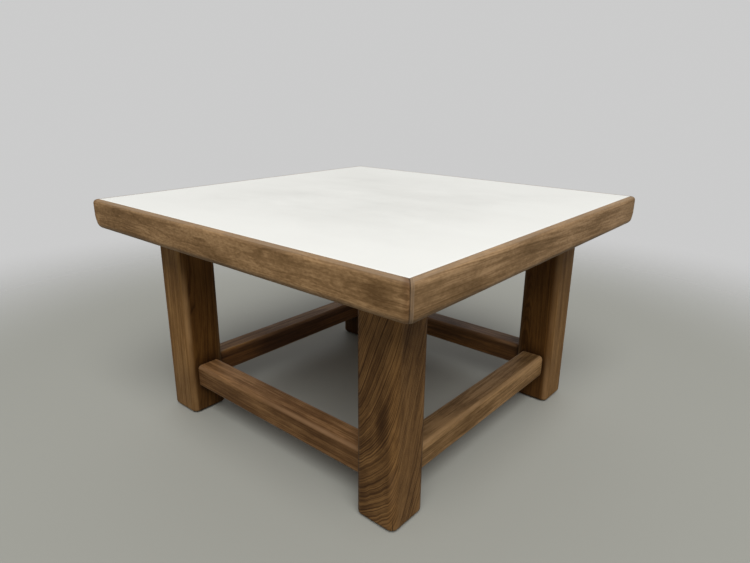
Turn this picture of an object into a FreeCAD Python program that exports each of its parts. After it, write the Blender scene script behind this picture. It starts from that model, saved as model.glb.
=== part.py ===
import FreeCAD, Part
import math
import os

import Sketcher

# A square coffee table: a white top in a mitred wooden edge frame, on four posts tied by low stretchers.
# The origin is on the floor under the middle of the top, X runs along the front and Z points up.

# Driving dimensions in millimetres
SIZES = {
    "top_width": 750,
    "table_height": 434,
    "rail_depth": 55,
    "rail_width": 60,
    "rail_top_round": 8,
    "rail_bottom_round": 11,
    "rail_corner_round": 5,
    "rail_lip": 9,
    "surface_thickness": 2,
    "panel_thickness": 20,
    "tongue_length": 10,
    "tongue_thickness": 8,
    "spline_length": 36,
    "spline_width": 24,
    "spline_thickness": 6,
    "spline_rise": 10,
    "leg_width": 76,
    "leg_inset": 78.5,
    "leg_round": 11,
    "foot_round": 6,
    "leg_tenon_width": 40,
    "leg_tenon_thickness": 36,
    "leg_tenon_flare": 2,
    "wedge_head": 5,
    "wedge_tip": 1.5,
    "wedge_length": 25,
    "wedge_spacing": 18,
    "stretcher_width": 48,
    "stretcher_depth": 46,
    "stretcher_rise": 60,
    "stretcher_round": 7,
    "stretcher_end_round": 5,
    "stretcher_tenon_width": 24,
    "stretcher_tenon_depth": 27,
    "bearer_width": 76,
    "bearer_tenon_length": 12,
    "bearer_tenon_width": 50,
    "bearer_tenon_depth": 17,
    "cross_tenon_length": 15,
    "screw_length": 36,
    "screw_diameter": 4.5,
    "screw_head_diameter": 9,
    "screw_head_depth": 3,
    "screw_bore_diameter": 11,
    "screw_bore_depth": 9,
    "long_screw_spacing": 190,
    "cross_screw_spacing": 220,
    "pad_diameter": 44,
    "pad_thickness": 2,
    "glue_gap": 0.1,
    "end_gap": 1,
}

# Sizes that follow from the driving dimensions
HALF_TOP = "(Sizes.top_width / 2)"
INNER_RAIL = f"({HALF_TOP} - Sizes.rail_width)"
LEG_CENTRE = f"({HALF_TOP} - Sizes.leg_inset - Sizes.leg_width / 2)"
LEG_INNER = f"({HALF_TOP} - Sizes.leg_inset - Sizes.leg_width)"
LEG_TOP = "(Sizes.table_height - Sizes.rail_depth)"
SURFACE_BASE = "(Sizes.table_height - Sizes.surface_thickness)"
PANEL_BASE = "(Sizes.table_height - Sizes.surface_thickness - Sizes.panel_thickness)"
BEARER_DEPTH = "(Sizes.rail_depth - Sizes.surface_thickness - Sizes.panel_thickness)"
TONGUE_MIDDLE = f"({PANEL_BASE} + Sizes.panel_thickness / 2)"
BEARER_MIDDLE = f"({LEG_TOP} + {BEARER_DEPTH} / 2)"
STRETCHER_MIDDLE = "(Sizes.stretcher_rise + Sizes.stretcher_depth / 2)"
CROSS_END = f"({LEG_CENTRE} - Sizes.bearer_width / 2)"
ROOT_HALF = "0.70710678"
EVERYTHING = "2 * Sizes.top_width"

SIDES = {"front": 0, "right": 90, "back": 180, "left": 270}
CORNERS = {
    "front_left": (-1, -1),
    "front_right": (1, -1),
    "back_right": (1, 1),
    "back_left": (-1, 1),
}
ENDS = {"left": -1, "right": 1}
NEAR = 0.001

doc = FreeCAD.newDocument("CoffeeTable")
sheet = doc.addObject("Spreadsheet::Sheet", "Sizes")
for row, (alias, size) in enumerate(SIZES.items(), start=1):
    sheet.set(f"A{row}", alias)
    sheet.set(f"B{row}", str(size))
    sheet.setAlias(f"B{row}", alias)
doc.recompute()


def number(expression):
    return float(sheet.evalExpression(expression.replace("Sizes.", "")))


def new_body(label):
    body = doc.addObject("PartDesign::Body", label)
    body.Label = label
    return body


def new_sketch(body, name, role, offset="0"):
    sketch = body.newObject("Sketcher::SketchObject", name)
    plane = next(item for item in body.Origin.OriginFeatures if item.Role == role)
    sketch.AttachmentSupport = [(plane, "")]
    sketch.MapMode = "FlatFace"
    sketch.setExpression("AttachmentOffset.Base.z", offset)
    return sketch


def bind(sketch, constraint, expression):
    index = sketch.addConstraint(constraint)
    sketch.setExpression(f"Constraints[{index}]", expression)


def draw_outline(sketch, corners, rounds=None):
    """Closed outline through the corners; rounds makes the side after a corner an arc: centre and radius."""
    rounds = rounds or {}
    points = [FreeCAD.Vector(number(x), number(y), 0) for x, y in corners]
    sides = []
    for index, start in enumerate(points):
        end = points[(index + 1) % len(points)]
        if index not in rounds:
            sides.append((sketch.addGeometry(Part.LineSegment(start, end)), 1, 2))
            continue
        centre_x, centre_y, radius = rounds[index]
        centre = FreeCAD.Vector(number(centre_x), number(centre_y), 0)
        turned = (start - centre).cross(end - centre).z < 0
        first, last = (end, start) if turned else (start, end)
        angles = [math.atan2(point.y - centre.y, point.x - centre.x) for point in (first, last)]
        circle = Part.Circle(centre, FreeCAD.Vector(0, 0, 1), number(radius))
        side = sketch.addGeometry(Part.ArcOfCircle(circle, *angles))
        sides.append((side, 2, 1) if turned else (side, 1, 2))
        bind(sketch, Sketcher.Constraint("Radius", side, number(radius)), radius)
    for index, (side, first, last) in enumerate(sides):
        following, start_of_following, _ = sides[(index + 1) % len(sides)]
        sketch.addConstraint(Sketcher.Constraint("Coincident", side, last, following, start_of_following))
        x, y = corners[index]
        bind(sketch, Sketcher.Constraint("DistanceX", -1, 1, side, first, number(x)), x)
        bind(sketch, Sketcher.Constraint("DistanceY", -1, 1, side, first, number(y)), y)


def draw_box(sketch, left, bottom, right, top):
    draw_outline(sketch, [(left, bottom), (right, bottom), (right, top), (left, top)])


def draw_circle(sketch, x, y, diameter):
    centre = FreeCAD.Vector(number(x), number(y), 0)
    circle = sketch.addGeometry(Part.Circle(centre, FreeCAD.Vector(0, 0, 1), number(diameter) / 2))
    bind(sketch, Sketcher.Constraint("Diameter", circle, number(diameter)), diameter)
    bind(sketch, Sketcher.Constraint("DistanceX", -1, 1, circle, 3, number(x)), x)
    bind(sketch, Sketcher.Constraint("DistanceY", -1, 1, circle, 3, number(y)), y)


def extrude(body, kind, name, sketch, length, symmetric=False, reverse=False):
    before = body.Tip.Shape.Volume if body.Tip else 0
    feature = body.newObject(f"PartDesign::{kind}", name)
    feature.Profile = sketch
    feature.SideType = "Symmetric" if symmetric else "One side"
    feature.Reversed = reverse
    feature.setExpression("Length", length)
    sketch.Visibility = False
    doc.recompute()
    change = feature.Shape.Volume - before
    if (change <= NEAR) if kind == "Pad" else (change >= -NEAR):
        raise ValueError(f"{body.Label}: {name} changed nothing")
    return feature


def pad(body, name, sketch, length, **options):
    return extrude(body, "Pad", name, sketch, length, **options)


def pocket(body, name, sketch, length, **options):
    return extrude(body, "Pocket", name, sketch, length, **options)


def round_edges(body, name, radius, wanted):
    """Round the edges of the body that are wanted, judged by the edge and its middle point."""
    base = body.Tip
    names = []
    for index, edge in enumerate(base.Shape.Edges, start=1):
        middle = edge.valueAt((edge.FirstParameter + edge.LastParameter) / 2)
        if wanted(edge, middle):
            names.append(f"Edge{index}")
    if not names:
        raise ValueError(f"{body.Label}: {name} found no edges")
    feature = body.newObject("PartDesign::Fillet", name)
    feature.Base = (base, names)
    feature.setExpression("Radius", radius)
    doc.recompute()
    return feature


def place(body, x="0", y="0", z="0", angle=0):
    body.Placement = FreeCAD.Placement(FreeCAD.Vector(), FreeCAD.Rotation(FreeCAD.Vector(0, 0, 1), angle))
    body.setExpression("Placement.Base.x", x)
    body.setExpression("Placement.Base.y", y)
    body.setExpression("Placement.Base.z", z)


def flat_at(edge, height):
    return all(abs(vertex.Z - height) < NEAR for vertex in edge.Vertexes)


def signed(sign, expression):
    return f"{sign} * ({expression})"


# Edge rails, drawn at the front and turned to their sides; rails at the bearers' ends have mortises
def make_rail(side):
    body = new_body(f"edge_rail_{side}")
    plan = new_sketch(body, f"{side}_rail_plan", "XY_Plane", LEG_TOP)
    draw_outline(
        plan,
        [
            (f"-{INNER_RAIL}", f"-{INNER_RAIL}"),
            (INNER_RAIL, f"-{INNER_RAIL}"),
            (HALF_TOP, f"-{HALF_TOP}"),
            (f"-{HALF_TOP}", f"-{HALF_TOP}"),
        ],
    )
    pad(body, f"{side}_rail_block", plan, "Sizes.rail_depth")
    outer_face = -number(HALF_TOP)
    bottom = number(LEG_TOP)
    top = number("Sizes.table_height")

    def bottom_edge(edge, middle):
        return flat_at(edge, bottom) and abs(middle.y - outer_face) < NEAR

    def top_edge(edge, middle):
        return flat_at(edge, top) and abs(middle.y - outer_face) < NEAR

    round_edges(body, f"{side}_rail_bottom_round", "Sizes.rail_bottom_round", bottom_edge)
    round_edges(body, f"{side}_rail_top_round", "Sizes.rail_top_round", top_edge)
    for end, sign in ENDS.items():
        corner = new_sketch(body, f"{side}_rail_{end}_corner_plan", "XY_Plane", LEG_TOP)
        draw_outline(corner, *corner_waste(sign))
        pocket(body, f"{side}_rail_{end}_corner", corner, "Sizes.rail_depth", reverse=True)

    section = new_sketch(body, f"{side}_rail_section", "YZ_Plane")
    above = "Sizes.table_height + Sizes.rail_depth"
    draw_box(section, f"-({HALF_TOP} - Sizes.rail_lip)", SURFACE_BASE, "0", above)
    pocket(body, f"{side}_rail_shelf", section, EVERYTHING, symmetric=True)

    groove = new_sketch(body, f"{side}_rail_groove_section", "YZ_Plane")
    draw_box(
        groove,
        f"-({INNER_RAIL} + Sizes.tongue_length + Sizes.end_gap)",
        f"{TONGUE_MIDDLE} - Sizes.tongue_thickness / 2 - Sizes.glue_gap",
        "0",
        f"{TONGUE_MIDDLE} + Sizes.tongue_thickness / 2 + Sizes.glue_gap",
    )
    pocket(body, f"{side}_rail_groove", groove, EVERYTHING, symmetric=True)

    for end, sign in ENDS.items():
        slot = new_sketch(body, f"{side}_rail_{end}_slot_plan", "XY_Plane", f"{LEG_TOP} + Sizes.spline_rise")
        draw_outline(slot, spline_outline(sign))
        depth = "Sizes.spline_thickness + 2 * Sizes.glue_gap"
        pocket(body, f"{side}_rail_{end}_slot", slot, depth, reverse=True)

    if side in ("left", "right"):
        for end, sign in ENDS.items():
            mortise = new_sketch(body, f"{side}_rail_{end}_mortise_face", "XZ_Plane", INNER_RAIL)
            centre = signed(sign, LEG_CENTRE)
            draw_box(
                mortise,
                f"{centre} - Sizes.bearer_tenon_width / 2 - Sizes.glue_gap",
                f"{BEARER_MIDDLE} - Sizes.bearer_tenon_depth / 2 - Sizes.glue_gap",
                f"{centre} + Sizes.bearer_tenon_width / 2 + Sizes.glue_gap",
                f"{BEARER_MIDDLE} + Sizes.bearer_tenon_depth / 2 + Sizes.glue_gap",
            )
            depth = "Sizes.bearer_tenon_length + Sizes.end_gap"
            pocket(body, f"{side}_rail_{end}_mortise", mortise, depth, reverse=True)
    place(body, angle=SIDES[side])
    return body


def corner_waste(sign):
    """Plan of what is cut away to round the outer corner at one end of the front rail."""
    straight_end = f"({HALF_TOP} - Sizes.rail_corner_round)"
    beyond = f"({HALF_TOP} + Sizes.rail_corner_round)"
    outline = [
        (signed(sign, straight_end), f"-{HALF_TOP}"),
        (signed(sign, HALF_TOP), f"-{straight_end}"),
        (signed(sign, beyond), f"-{straight_end}"),
        (signed(sign, beyond), f"-{beyond}"),
        (signed(sign, straight_end), f"-{beyond}"),
    ]
    return outline, {0: (signed(sign, straight_end), f"-{straight_end}", "Sizes.rail_corner_round")}


def spline_outline(sign, gap="Sizes.glue_gap"):
    """Plan of a spline slot across the mitre at one end of the front rail, square to the mitre line."""
    middle = f"(({INNER_RAIL} + {HALF_TOP} - Sizes.rail_corner_round) / 2 / {ROOT_HALF})"
    along = f"(Sizes.spline_length / 2 + {gap})"
    across = f"(Sizes.spline_width / 2 + {gap})"
    outline = []
    for step_along, step_across in ((-1, -1), (1, -1), (1, 1), (-1, 1)):
        distance = f"({middle} + {step_along} * {along})"
        shift = f"({step_across} * {across})"
        x = f"({distance} + {shift}) * {ROOT_HALF}"
        y = f"(-{distance} + {shift}) * {ROOT_HALF}"
        outline.append((signed(sign, x), y))
    return outline


# Loose tongues that lock the mitres
def make_spline(corner, angle):
    body = new_body(f"mitre_spline_{corner}")
    underside = f"{LEG_TOP} + Sizes.spline_rise + Sizes.glue_gap"
    plan = new_sketch(body, f"spline_{corner}_plan", "XY_Plane", underside)
    draw_outline(plan, spline_outline(1, "0"))
    pad(body, f"spline_{corner}_board", plan, "Sizes.spline_thickness")
    place(body, angle=angle)
    return body


# White sheet let into the rails' lip
def make_surface():
    body = new_body("top_surface")
    half = f"({HALF_TOP} - Sizes.rail_lip - Sizes.glue_gap)"
    plan = new_sketch(body, "surface_plan", "XY_Plane", SURFACE_BASE)
    draw_box(plan, f"-{half}", f"-{half}", half, half)
    pad(body, "surface_sheet", plan, "Sizes.surface_thickness")
    return body


# Core board with a tongue all round, drilled from below for the screws
def make_panel():
    body = new_body("top_panel")
    half = f"({INNER_RAIL} - Sizes.glue_gap)"
    plan = new_sketch(body, "panel_plan", "XY_Plane", PANEL_BASE)
    draw_box(plan, f"-{half}", f"-{half}", half, half)
    pad(body, "panel_board", plan, "Sizes.panel_thickness")

    reach = f"({INNER_RAIL} + Sizes.tongue_length)"
    tongue = new_sketch(body, "tongue_plan", "XY_Plane", f"{TONGUE_MIDDLE} - Sizes.tongue_thickness / 2")
    draw_box(tongue, f"-{reach}", f"-{reach}", reach, reach)
    pad(body, "panel_tongue", tongue, "Sizes.tongue_thickness")

    holes = new_sketch(body, "panel_hole_plan", "XY_Plane", PANEL_BASE)
    for x, y in screw_points():
        draw_circle(holes, x, y, "Sizes.screw_diameter + 2 * Sizes.glue_gap")
    depth = f"{SCREW_REACH} + Sizes.end_gap"
    pocket(body, "panel_holes", holes, depth, reverse=True)
    return body


def screw_points():
    points = []
    for sign in (-1, 1):
        for step in (-1, 0, 1):
            points.append((f"{step} * Sizes.long_screw_spacing", signed(sign, LEG_CENTRE)))
        for step in (-0.5, 0.5):
            points.append((signed(sign, LEG_CENTRE), f"{step} * Sizes.cross_screw_spacing"))
    return points


# Screws sunk in the bearers and reaching into the panel
SCREW_SEAT = f"({LEG_TOP} + Sizes.screw_bore_depth - Sizes.screw_head_depth)"
SCREW_REACH = f"({SCREW_SEAT} + Sizes.screw_length - {PANEL_BASE})"


def make_screws():
    screws = []
    for place_in_row, (x, y) in enumerate(screw_points(), start=1):
        body = new_body(f"panel_screw_{place_in_row}")
        section = new_sketch(body, f"screw_{place_in_row}_section", "XZ_Plane")
        shank = "Sizes.screw_diameter / 2"
        head = "Sizes.screw_head_diameter / 2"
        point_length = "Sizes.screw_diameter"
        draw_outline(
            section,
            [
                ("0", SCREW_SEAT),
                (head, SCREW_SEAT),
                (head, f"{SCREW_SEAT} + Sizes.screw_head_depth"),
                (shank, f"{SCREW_SEAT} + Sizes.screw_head_depth"),
                (shank, f"{SCREW_SEAT} + Sizes.screw_length - {point_length}"),
                ("0", f"{SCREW_SEAT} + Sizes.screw_length"),
            ],
        )
        turned = body.newObject("PartDesign::Revolution", f"screw_{place_in_row}_turned")
        turned.Profile = section
        turned.ReferenceAxis = (section, ["V_Axis"])
        turned.Angle = 360
        doc.recompute()
        place(body, x, y)
        screws.append(body)
    return group("panel_screws", screws)


def group(label, members):
    compound = doc.addObject("Part::Compound", label)
    compound.Label = label
    compound.Links = members
    return compound


def drill_bearer(body, name, points):
    bores = new_sketch(body, f"{name}_bore_plan", "XY_Plane", LEG_TOP)
    holes = new_sketch(body, f"{name}_hole_plan", "XY_Plane", LEG_TOP)
    for x, y in points:
        draw_circle(bores, x, y, "Sizes.screw_bore_diameter")
        draw_circle(holes, x, y, "Sizes.screw_diameter + 2 * Sizes.glue_gap")
    pocket(body, f"{name}_bores", bores, "Sizes.screw_bore_depth", reverse=True)
    pocket(body, f"{name}_holes", holes, BEARER_DEPTH, reverse=True)


# Long bearers: tenoned into the side rails, mortised right through for the legs
def make_long_bearer(side):
    label = f"long_bearer_{side}"
    body = new_body(label)
    sign = -1 if side == "front" else 1
    half_width = "Sizes.bearer_width / 2"
    section = new_sketch(body, f"{label}_section", "YZ_Plane")
    draw_box(section, f"-{half_width}", LEG_TOP, half_width, PANEL_BASE)
    pad(body, f"{label}_bar", section, f"2 * {INNER_RAIL}", symmetric=True)

    tenon = new_sketch(body, f"{label}_tenon_section", "YZ_Plane")
    draw_box(
        tenon,
        "-Sizes.bearer_tenon_width / 2",
        f"{BEARER_MIDDLE} - Sizes.bearer_tenon_depth / 2",
        "Sizes.bearer_tenon_width / 2",
        f"{BEARER_MIDDLE} + Sizes.bearer_tenon_depth / 2",
    )
    pad(body, f"{label}_tenons", tenon, f"2 * ({INNER_RAIL} + Sizes.bearer_tenon_length)", symmetric=True)

    for end, direction in ENDS.items():
        centre = signed(direction, LEG_CENTRE)
        narrow = "(Sizes.leg_tenon_width / 2 + Sizes.glue_gap)"
        wide = "(Sizes.leg_tenon_width / 2 + Sizes.leg_tenon_flare + Sizes.glue_gap)"
        mortise = new_sketch(body, f"{label}_{end}_mortise_section", "XZ_Plane")
        draw_outline(
            mortise,
            [
                (f"{centre} - {narrow}", LEG_TOP),
                (f"{centre} + {narrow}", LEG_TOP),
                (f"{centre} + {wide}", PANEL_BASE),
                (f"{centre} - {wide}", PANEL_BASE),
            ],
        )
        width = "Sizes.leg_tenon_thickness + 2 * Sizes.glue_gap"
        pocket(body, f"{label}_{end}_mortise", mortise, width, symmetric=True)

        socket = new_sketch(body, f"{label}_{end}_socket_face", "XZ_Plane", signed(sign, half_width))
        draw_box(
            socket,
            f"{centre} - Sizes.bearer_tenon_width / 2 - Sizes.glue_gap",
            f"{BEARER_MIDDLE} - Sizes.bearer_tenon_depth / 2 - Sizes.glue_gap",
            f"{centre} + Sizes.bearer_tenon_width / 2 + Sizes.glue_gap",
            f"{BEARER_MIDDLE} + Sizes.bearer_tenon_depth / 2 + Sizes.glue_gap",
        )
        depth = "Sizes.cross_tenon_length + Sizes.end_gap"
        pocket(body, f"{label}_{end}_socket", socket, depth, reverse=side == "front")

    drill_bearer(body, label, [(f"{step} * Sizes.long_screw_spacing", "0") for step in (-1, 0, 1)])
    place(body, y=signed(sign, LEG_CENTRE))
    return body


# Cross bearers between the long ones
def make_cross_bearer(side):
    label = f"cross_bearer_{side}"
    body = new_body(label)
    half_width = "Sizes.bearer_width / 2"
    section = new_sketch(body, f"{label}_section", "XZ_Plane")
    draw_box(section, f"-{half_width}", LEG_TOP, half_width, PANEL_BASE)
    pad(body, f"{label}_bar", section, f"2 * {CROSS_END}", symmetric=True)

    tenon = new_sketch(body, f"{label}_tenon_section", "XZ_Plane")
    draw_box(
        tenon,
        "-Sizes.bearer_tenon_width / 2",
        f"{BEARER_MIDDLE} - Sizes.bearer_tenon_depth / 2",
        "Sizes.bearer_tenon_width / 2",
        f"{BEARER_MIDDLE} + Sizes.bearer_tenon_depth / 2",
    )
    pad(body, f"{label}_tenons", tenon, f"2 * ({CROSS_END} + Sizes.cross_tenon_length)", symmetric=True)

    drill_bearer(body, label, [("0", f"{step} * Sizes.cross_screw_spacing") for step in (-0.5, 0.5)])
    place(body, x=signed(-1 if side == "left" else 1, LEG_CENTRE))
    return body


# Wedge slots in a leg's tenon, seen from the front: head and tip half widths about the slot's middle line
def wedge_section(sign, gap="0"):
    middle = f"({sign} * Sizes.wedge_spacing / 2)"
    head = f"(Sizes.wedge_head / 2 + {gap})"
    tip = f"(Sizes.wedge_tip / 2 + {gap})"
    foot = f"({PANEL_BASE} - Sizes.wedge_length)"
    return [
        (f"{middle} - {tip}", foot),
        (f"{middle} + {tip}", foot),
        (f"{middle} + {head}", PANEL_BASE),
        (f"{middle} - {head}", PANEL_BASE),
    ]


# Legs: posts with rounded edges, a wedged tenon on top and two mortises that meet inside
def make_leg(corner):
    label = f"leg_{corner}"
    body = new_body(label)
    sign_x, sign_y = CORNERS[corner]
    half = "Sizes.leg_width / 2"
    plan = new_sketch(body, f"{label}_plan", "XY_Plane", "Sizes.pad_thickness")
    draw_box(plan, f"-{half}", f"-{half}", half, half)
    pad(body, f"{label}_post", plan, f"{LEG_TOP} - Sizes.pad_thickness")

    def upright(edge, middle):
        return abs(edge.Vertexes[0].Z - edge.Vertexes[-1].Z) > NEAR

    def at_foot(edge, middle):
        return flat_at(edge, number("Sizes.pad_thickness"))

    round_edges(body, f"{label}_rounded_edges", "Sizes.leg_round", upright)
    round_edges(body, f"{label}_rounded_foot", "Sizes.foot_round", at_foot)

    tenon = new_sketch(body, f"{label}_tenon_section", "XZ_Plane")
    narrow = "Sizes.leg_tenon_width / 2"
    wide = "(Sizes.leg_tenon_width / 2 + Sizes.leg_tenon_flare)"
    outline = [(f"-{narrow}", LEG_TOP), (narrow, LEG_TOP), (wide, PANEL_BASE), (f"-{wide}", PANEL_BASE)]
    draw_outline(tenon, outline)
    pad(body, f"{label}_tenon", tenon, "Sizes.leg_tenon_thickness", symmetric=True)

    for sign in (-1, 1):
        slot = new_sketch(body, f"{label}_slot_section_{sign + 2}", "XZ_Plane")
        draw_outline(slot, wedge_section(sign, "Sizes.glue_gap"))
        pocket(body, f"{label}_slot_{sign + 2}", slot, "2 * Sizes.leg_tenon_thickness", symmetric=True)

    reach = f"{half} + Sizes.stretcher_tenon_width / 2 + Sizes.end_gap"
    for name, role, facing, sign in (
        ("side", "YZ_Plane", 1, sign_x),
        ("back", "XZ_Plane", -1, sign_y),
    ):
        mortise = new_sketch(body, f"{label}_{name}_mortise_face", role, signed(-sign * facing, half))
        draw_box(
            mortise,
            "-Sizes.stretcher_tenon_width / 2 - Sizes.glue_gap",
            f"{STRETCHER_MIDDLE} - Sizes.stretcher_tenon_depth / 2 - Sizes.glue_gap",
            "Sizes.stretcher_tenon_width / 2 + Sizes.glue_gap",
            f"{STRETCHER_MIDDLE} + Sizes.stretcher_tenon_depth / 2 + Sizes.glue_gap",
        )
        pocket(body, f"{label}_{name}_mortise", mortise, reach, reverse=sign * facing > 0)
    place(body, signed(sign_x, LEG_CENTRE), signed(sign_y, LEG_CENTRE))
    return body


def make_wedges(corner):
    sign_x, sign_y = CORNERS[corner]
    wedges = []
    for sign in (-1, 1):
        body = new_body(f"wedge_{corner}_{sign + 2}")
        section = new_sketch(body, f"wedge_{corner}_section_{sign + 2}", "XZ_Plane")
        draw_outline(section, wedge_section(sign))
        pad(body, f"wedge_{corner}_{sign + 2}_slip", section, "Sizes.leg_tenon_thickness", symmetric=True)
        place(body, signed(sign_x, LEG_CENTRE), signed(sign_y, LEG_CENTRE))
        wedges.append(body)
    return group(f"leg_wedges_{corner}", wedges)


# Stretchers: rounded bars with eased ends, and tenons mitred where two meet inside a leg
def make_stretcher(side):
    label = f"stretcher_{side}"
    body = new_body(label)
    half_width = "Sizes.stretcher_width / 2"
    section = new_sketch(body, f"{label}_section", "YZ_Plane")
    draw_box(
        section,
        f"-{half_width}",
        "Sizes.stretcher_rise",
        half_width,
        "Sizes.stretcher_rise + Sizes.stretcher_depth",
    )
    pad(body, f"{label}_bar", section, f"2 * {LEG_INNER}", symmetric=True)
    shoulder = number(LEG_INNER)

    def lengthwise(edge, middle):
        return abs(middle.x) < NEAR

    def at_shoulder(edge, middle):
        on_end = all(abs(abs(vertex.X) - shoulder) < NEAR for vertex in edge.Vertexes)
        return on_end and not lengthwise(edge, middle)

    round_edges(body, f"{label}_rounded_edges", "Sizes.stretcher_round", lengthwise)
    round_edges(body, f"{label}_rounded_ends", "Sizes.stretcher_end_round", at_shoulder)

    half_tenon = "Sizes.stretcher_tenon_width / 2"
    long_point = f"({LEG_CENTRE} + {half_tenon} - Sizes.glue_gap)"
    short_point = f"({LEG_CENTRE} - {half_tenon} - Sizes.glue_gap)"
    base = f"{STRETCHER_MIDDLE} - Sizes.stretcher_tenon_depth / 2"
    tenons = new_sketch(body, f"{label}_tenon_plan", "XY_Plane", base)
    draw_outline(
        tenons,
        [
            (f"-{long_point}", f"-{half_tenon}"),
            (long_point, f"-{half_tenon}"),
            (short_point, half_tenon),
            (f"-{short_point}", half_tenon),
        ],
    )
    pad(body, f"{label}_tenons", tenons, "Sizes.stretcher_tenon_depth")

    positions = {"front": ("0", -1), "right": (1, "0"), "back": ("0", 1), "left": (-1, "0")}
    x, y = (axis if axis == "0" else signed(axis, LEG_CENTRE) for axis in positions[side])
    place(body, x, y, angle=SIDES[side])
    return body


# Felt pads under the legs
def make_felt_pad(corner):
    label = f"felt_pad_{corner}"
    disc = doc.addObject("Part::Cylinder", label)
    disc.Label = label
    disc.setExpression("Radius", "Sizes.pad_diameter / 2")
    disc.setExpression("Height", "Sizes.pad_thickness")
    sign_x, sign_y = CORNERS[corner]
    place(disc, signed(sign_x, LEG_CENTRE), signed(sign_y, LEG_CENTRE))
    return disc


pieces = [make_surface(), make_panel(), make_screws()]
for side in SIDES:
    pieces.append(make_rail(side))
    pieces.append(make_stretcher(side))
for corner, angle in (("front_right", 0), ("back_right", 90), ("back_left", 180), ("front_left", 270)):
    pieces.append(make_spline(corner, angle))
for side in ("front", "back"):
    pieces.append(make_long_bearer(side))
for side in ("left", "right"):
    pieces.append(make_cross_bearer(side))
for corner in CORNERS:
    pieces.append(make_leg(corner))
    pieces.append(make_wedges(corner))
    pieces.append(make_felt_pad(corner))
doc.recompute()

for item in doc.Objects:
    if "Invalid" in item.State or "Error" in item.State:
        raise ValueError(f"{item.Label} did not build")
os.makedirs("parts", exist_ok=True)
for piece in pieces:
    if piece.Shape.isNull() or not piece.Shape.isValid():
        raise ValueError(f"{piece.Label} has no sound shape")
    piece.Shape.exportStep(f"parts/{piece.Label}.step")
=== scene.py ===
# %% [markdown]
# # A square coffee table
# A low table: a matt white top let into a rounded wooden edge, on four square posts that are tied
# together by low stretchers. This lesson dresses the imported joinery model: it loads the model as a fixed
# frame, makes finer meshes for the pieces that show, and gives every surface a finish of its own.
# Everything is in metres, and the floor under the middle of the table is the origin.

# %% Load the frame
import math

import bmesh
import bpy
from mathutils import Euler, Matrix, Vector, noise


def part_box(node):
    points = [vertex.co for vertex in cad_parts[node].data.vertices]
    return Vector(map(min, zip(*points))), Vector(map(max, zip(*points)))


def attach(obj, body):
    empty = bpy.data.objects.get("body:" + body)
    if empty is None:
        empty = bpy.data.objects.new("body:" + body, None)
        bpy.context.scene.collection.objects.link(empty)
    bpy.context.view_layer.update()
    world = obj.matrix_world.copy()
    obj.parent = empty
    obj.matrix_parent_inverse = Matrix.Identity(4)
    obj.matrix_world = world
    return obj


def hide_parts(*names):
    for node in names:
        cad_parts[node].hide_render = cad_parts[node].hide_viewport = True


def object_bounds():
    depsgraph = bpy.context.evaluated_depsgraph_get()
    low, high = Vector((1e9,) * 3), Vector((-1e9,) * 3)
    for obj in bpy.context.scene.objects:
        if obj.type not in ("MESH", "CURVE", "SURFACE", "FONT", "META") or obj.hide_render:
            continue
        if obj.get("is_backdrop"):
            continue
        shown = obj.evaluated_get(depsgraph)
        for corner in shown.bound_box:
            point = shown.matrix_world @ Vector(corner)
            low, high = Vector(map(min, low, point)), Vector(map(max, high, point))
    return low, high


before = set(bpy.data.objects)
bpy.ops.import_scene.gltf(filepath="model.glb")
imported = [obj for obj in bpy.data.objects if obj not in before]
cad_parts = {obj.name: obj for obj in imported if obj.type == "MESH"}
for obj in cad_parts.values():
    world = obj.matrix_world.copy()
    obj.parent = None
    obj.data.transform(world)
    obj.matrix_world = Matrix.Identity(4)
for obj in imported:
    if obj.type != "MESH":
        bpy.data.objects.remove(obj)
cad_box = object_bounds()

MM = 0.001
CORNERS = ("front_left", "front_right", "back_right", "back_left")
CORNER_SIGNS = ((-1, -1), (1, -1), (1, 1), (-1, 1))
SIDES = ("front", "right", "back", "left")
print("nodes", len(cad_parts), "box", [[round(v, 4) for v in corner] for corner in cad_box])

# %% [markdown]
# ## Sizes
# Every size that the joinery already fixes is read from its boxes, so that the finer pieces land exactly
# on it. The sizes could be typed in again, but then a change to the joinery would leave these pieces
# behind. Only what a box can't tell, such as the radius of a rounded edge, is written here.

# %% Read the sizes
rail_low, rail_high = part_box("edge_rail_front")
sheet_low, sheet_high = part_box("top_surface")
leg_low, leg_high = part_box("leg_front_right")
stretcher_low, stretcher_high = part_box("stretcher_front")
HALF_TOP = -rail_low[1]
RAIL_BASE = rail_low[2]
TOP = rail_high[2]
RAIL_WIDTH = rail_high[1] - rail_low[1]
SHEET_BASE = sheet_low[2]
LIP = HALF_TOP - sheet_high[0]
LEG_WIDTH = leg_high[0] - leg_low[0]
LEG_CENTRE = (leg_high[0] + leg_low[0]) / 2
FOOT = leg_low[2]
STRETCHER_WIDTH = stretcher_high[1] - stretcher_low[1]
STRETCHER_DEPTH = stretcher_high[2] - stretcher_low[2]
STRETCHER_MIDDLE = (stretcher_high[2] + stretcher_low[2]) / 2
SHOULDER = LEG_CENTRE - LEG_WIDTH / 2
RAIL_TOP_ROUND = 8 * MM
RAIL_BOTTOM_ROUND = 11 * MM
RAIL_CORNER_ROUND = 5 * MM
LEG_ROUND = 11 * MM
FOOT_ROUND = 6 * MM
STRETCHER_ROUND = 7 * MM
STRETCHER_END_ROUND = 5 * MM
print("leg", round(LEG_WIDTH, 4), "at", round(LEG_CENTRE, 4), "stretcher span", round(2 * SHOULDER, 4))

# %% [markdown]
# ## Small helpers for nodes
# Both the shapes and the finishes are node trees. They could be drawn by hand in the node editor, but a
# written tree can be read, repeated and changed in one place. One helper adds a node with its settings
# and inputs, and the others do sums on numbers and on places, so that a tree reads as a short recipe.


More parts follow.
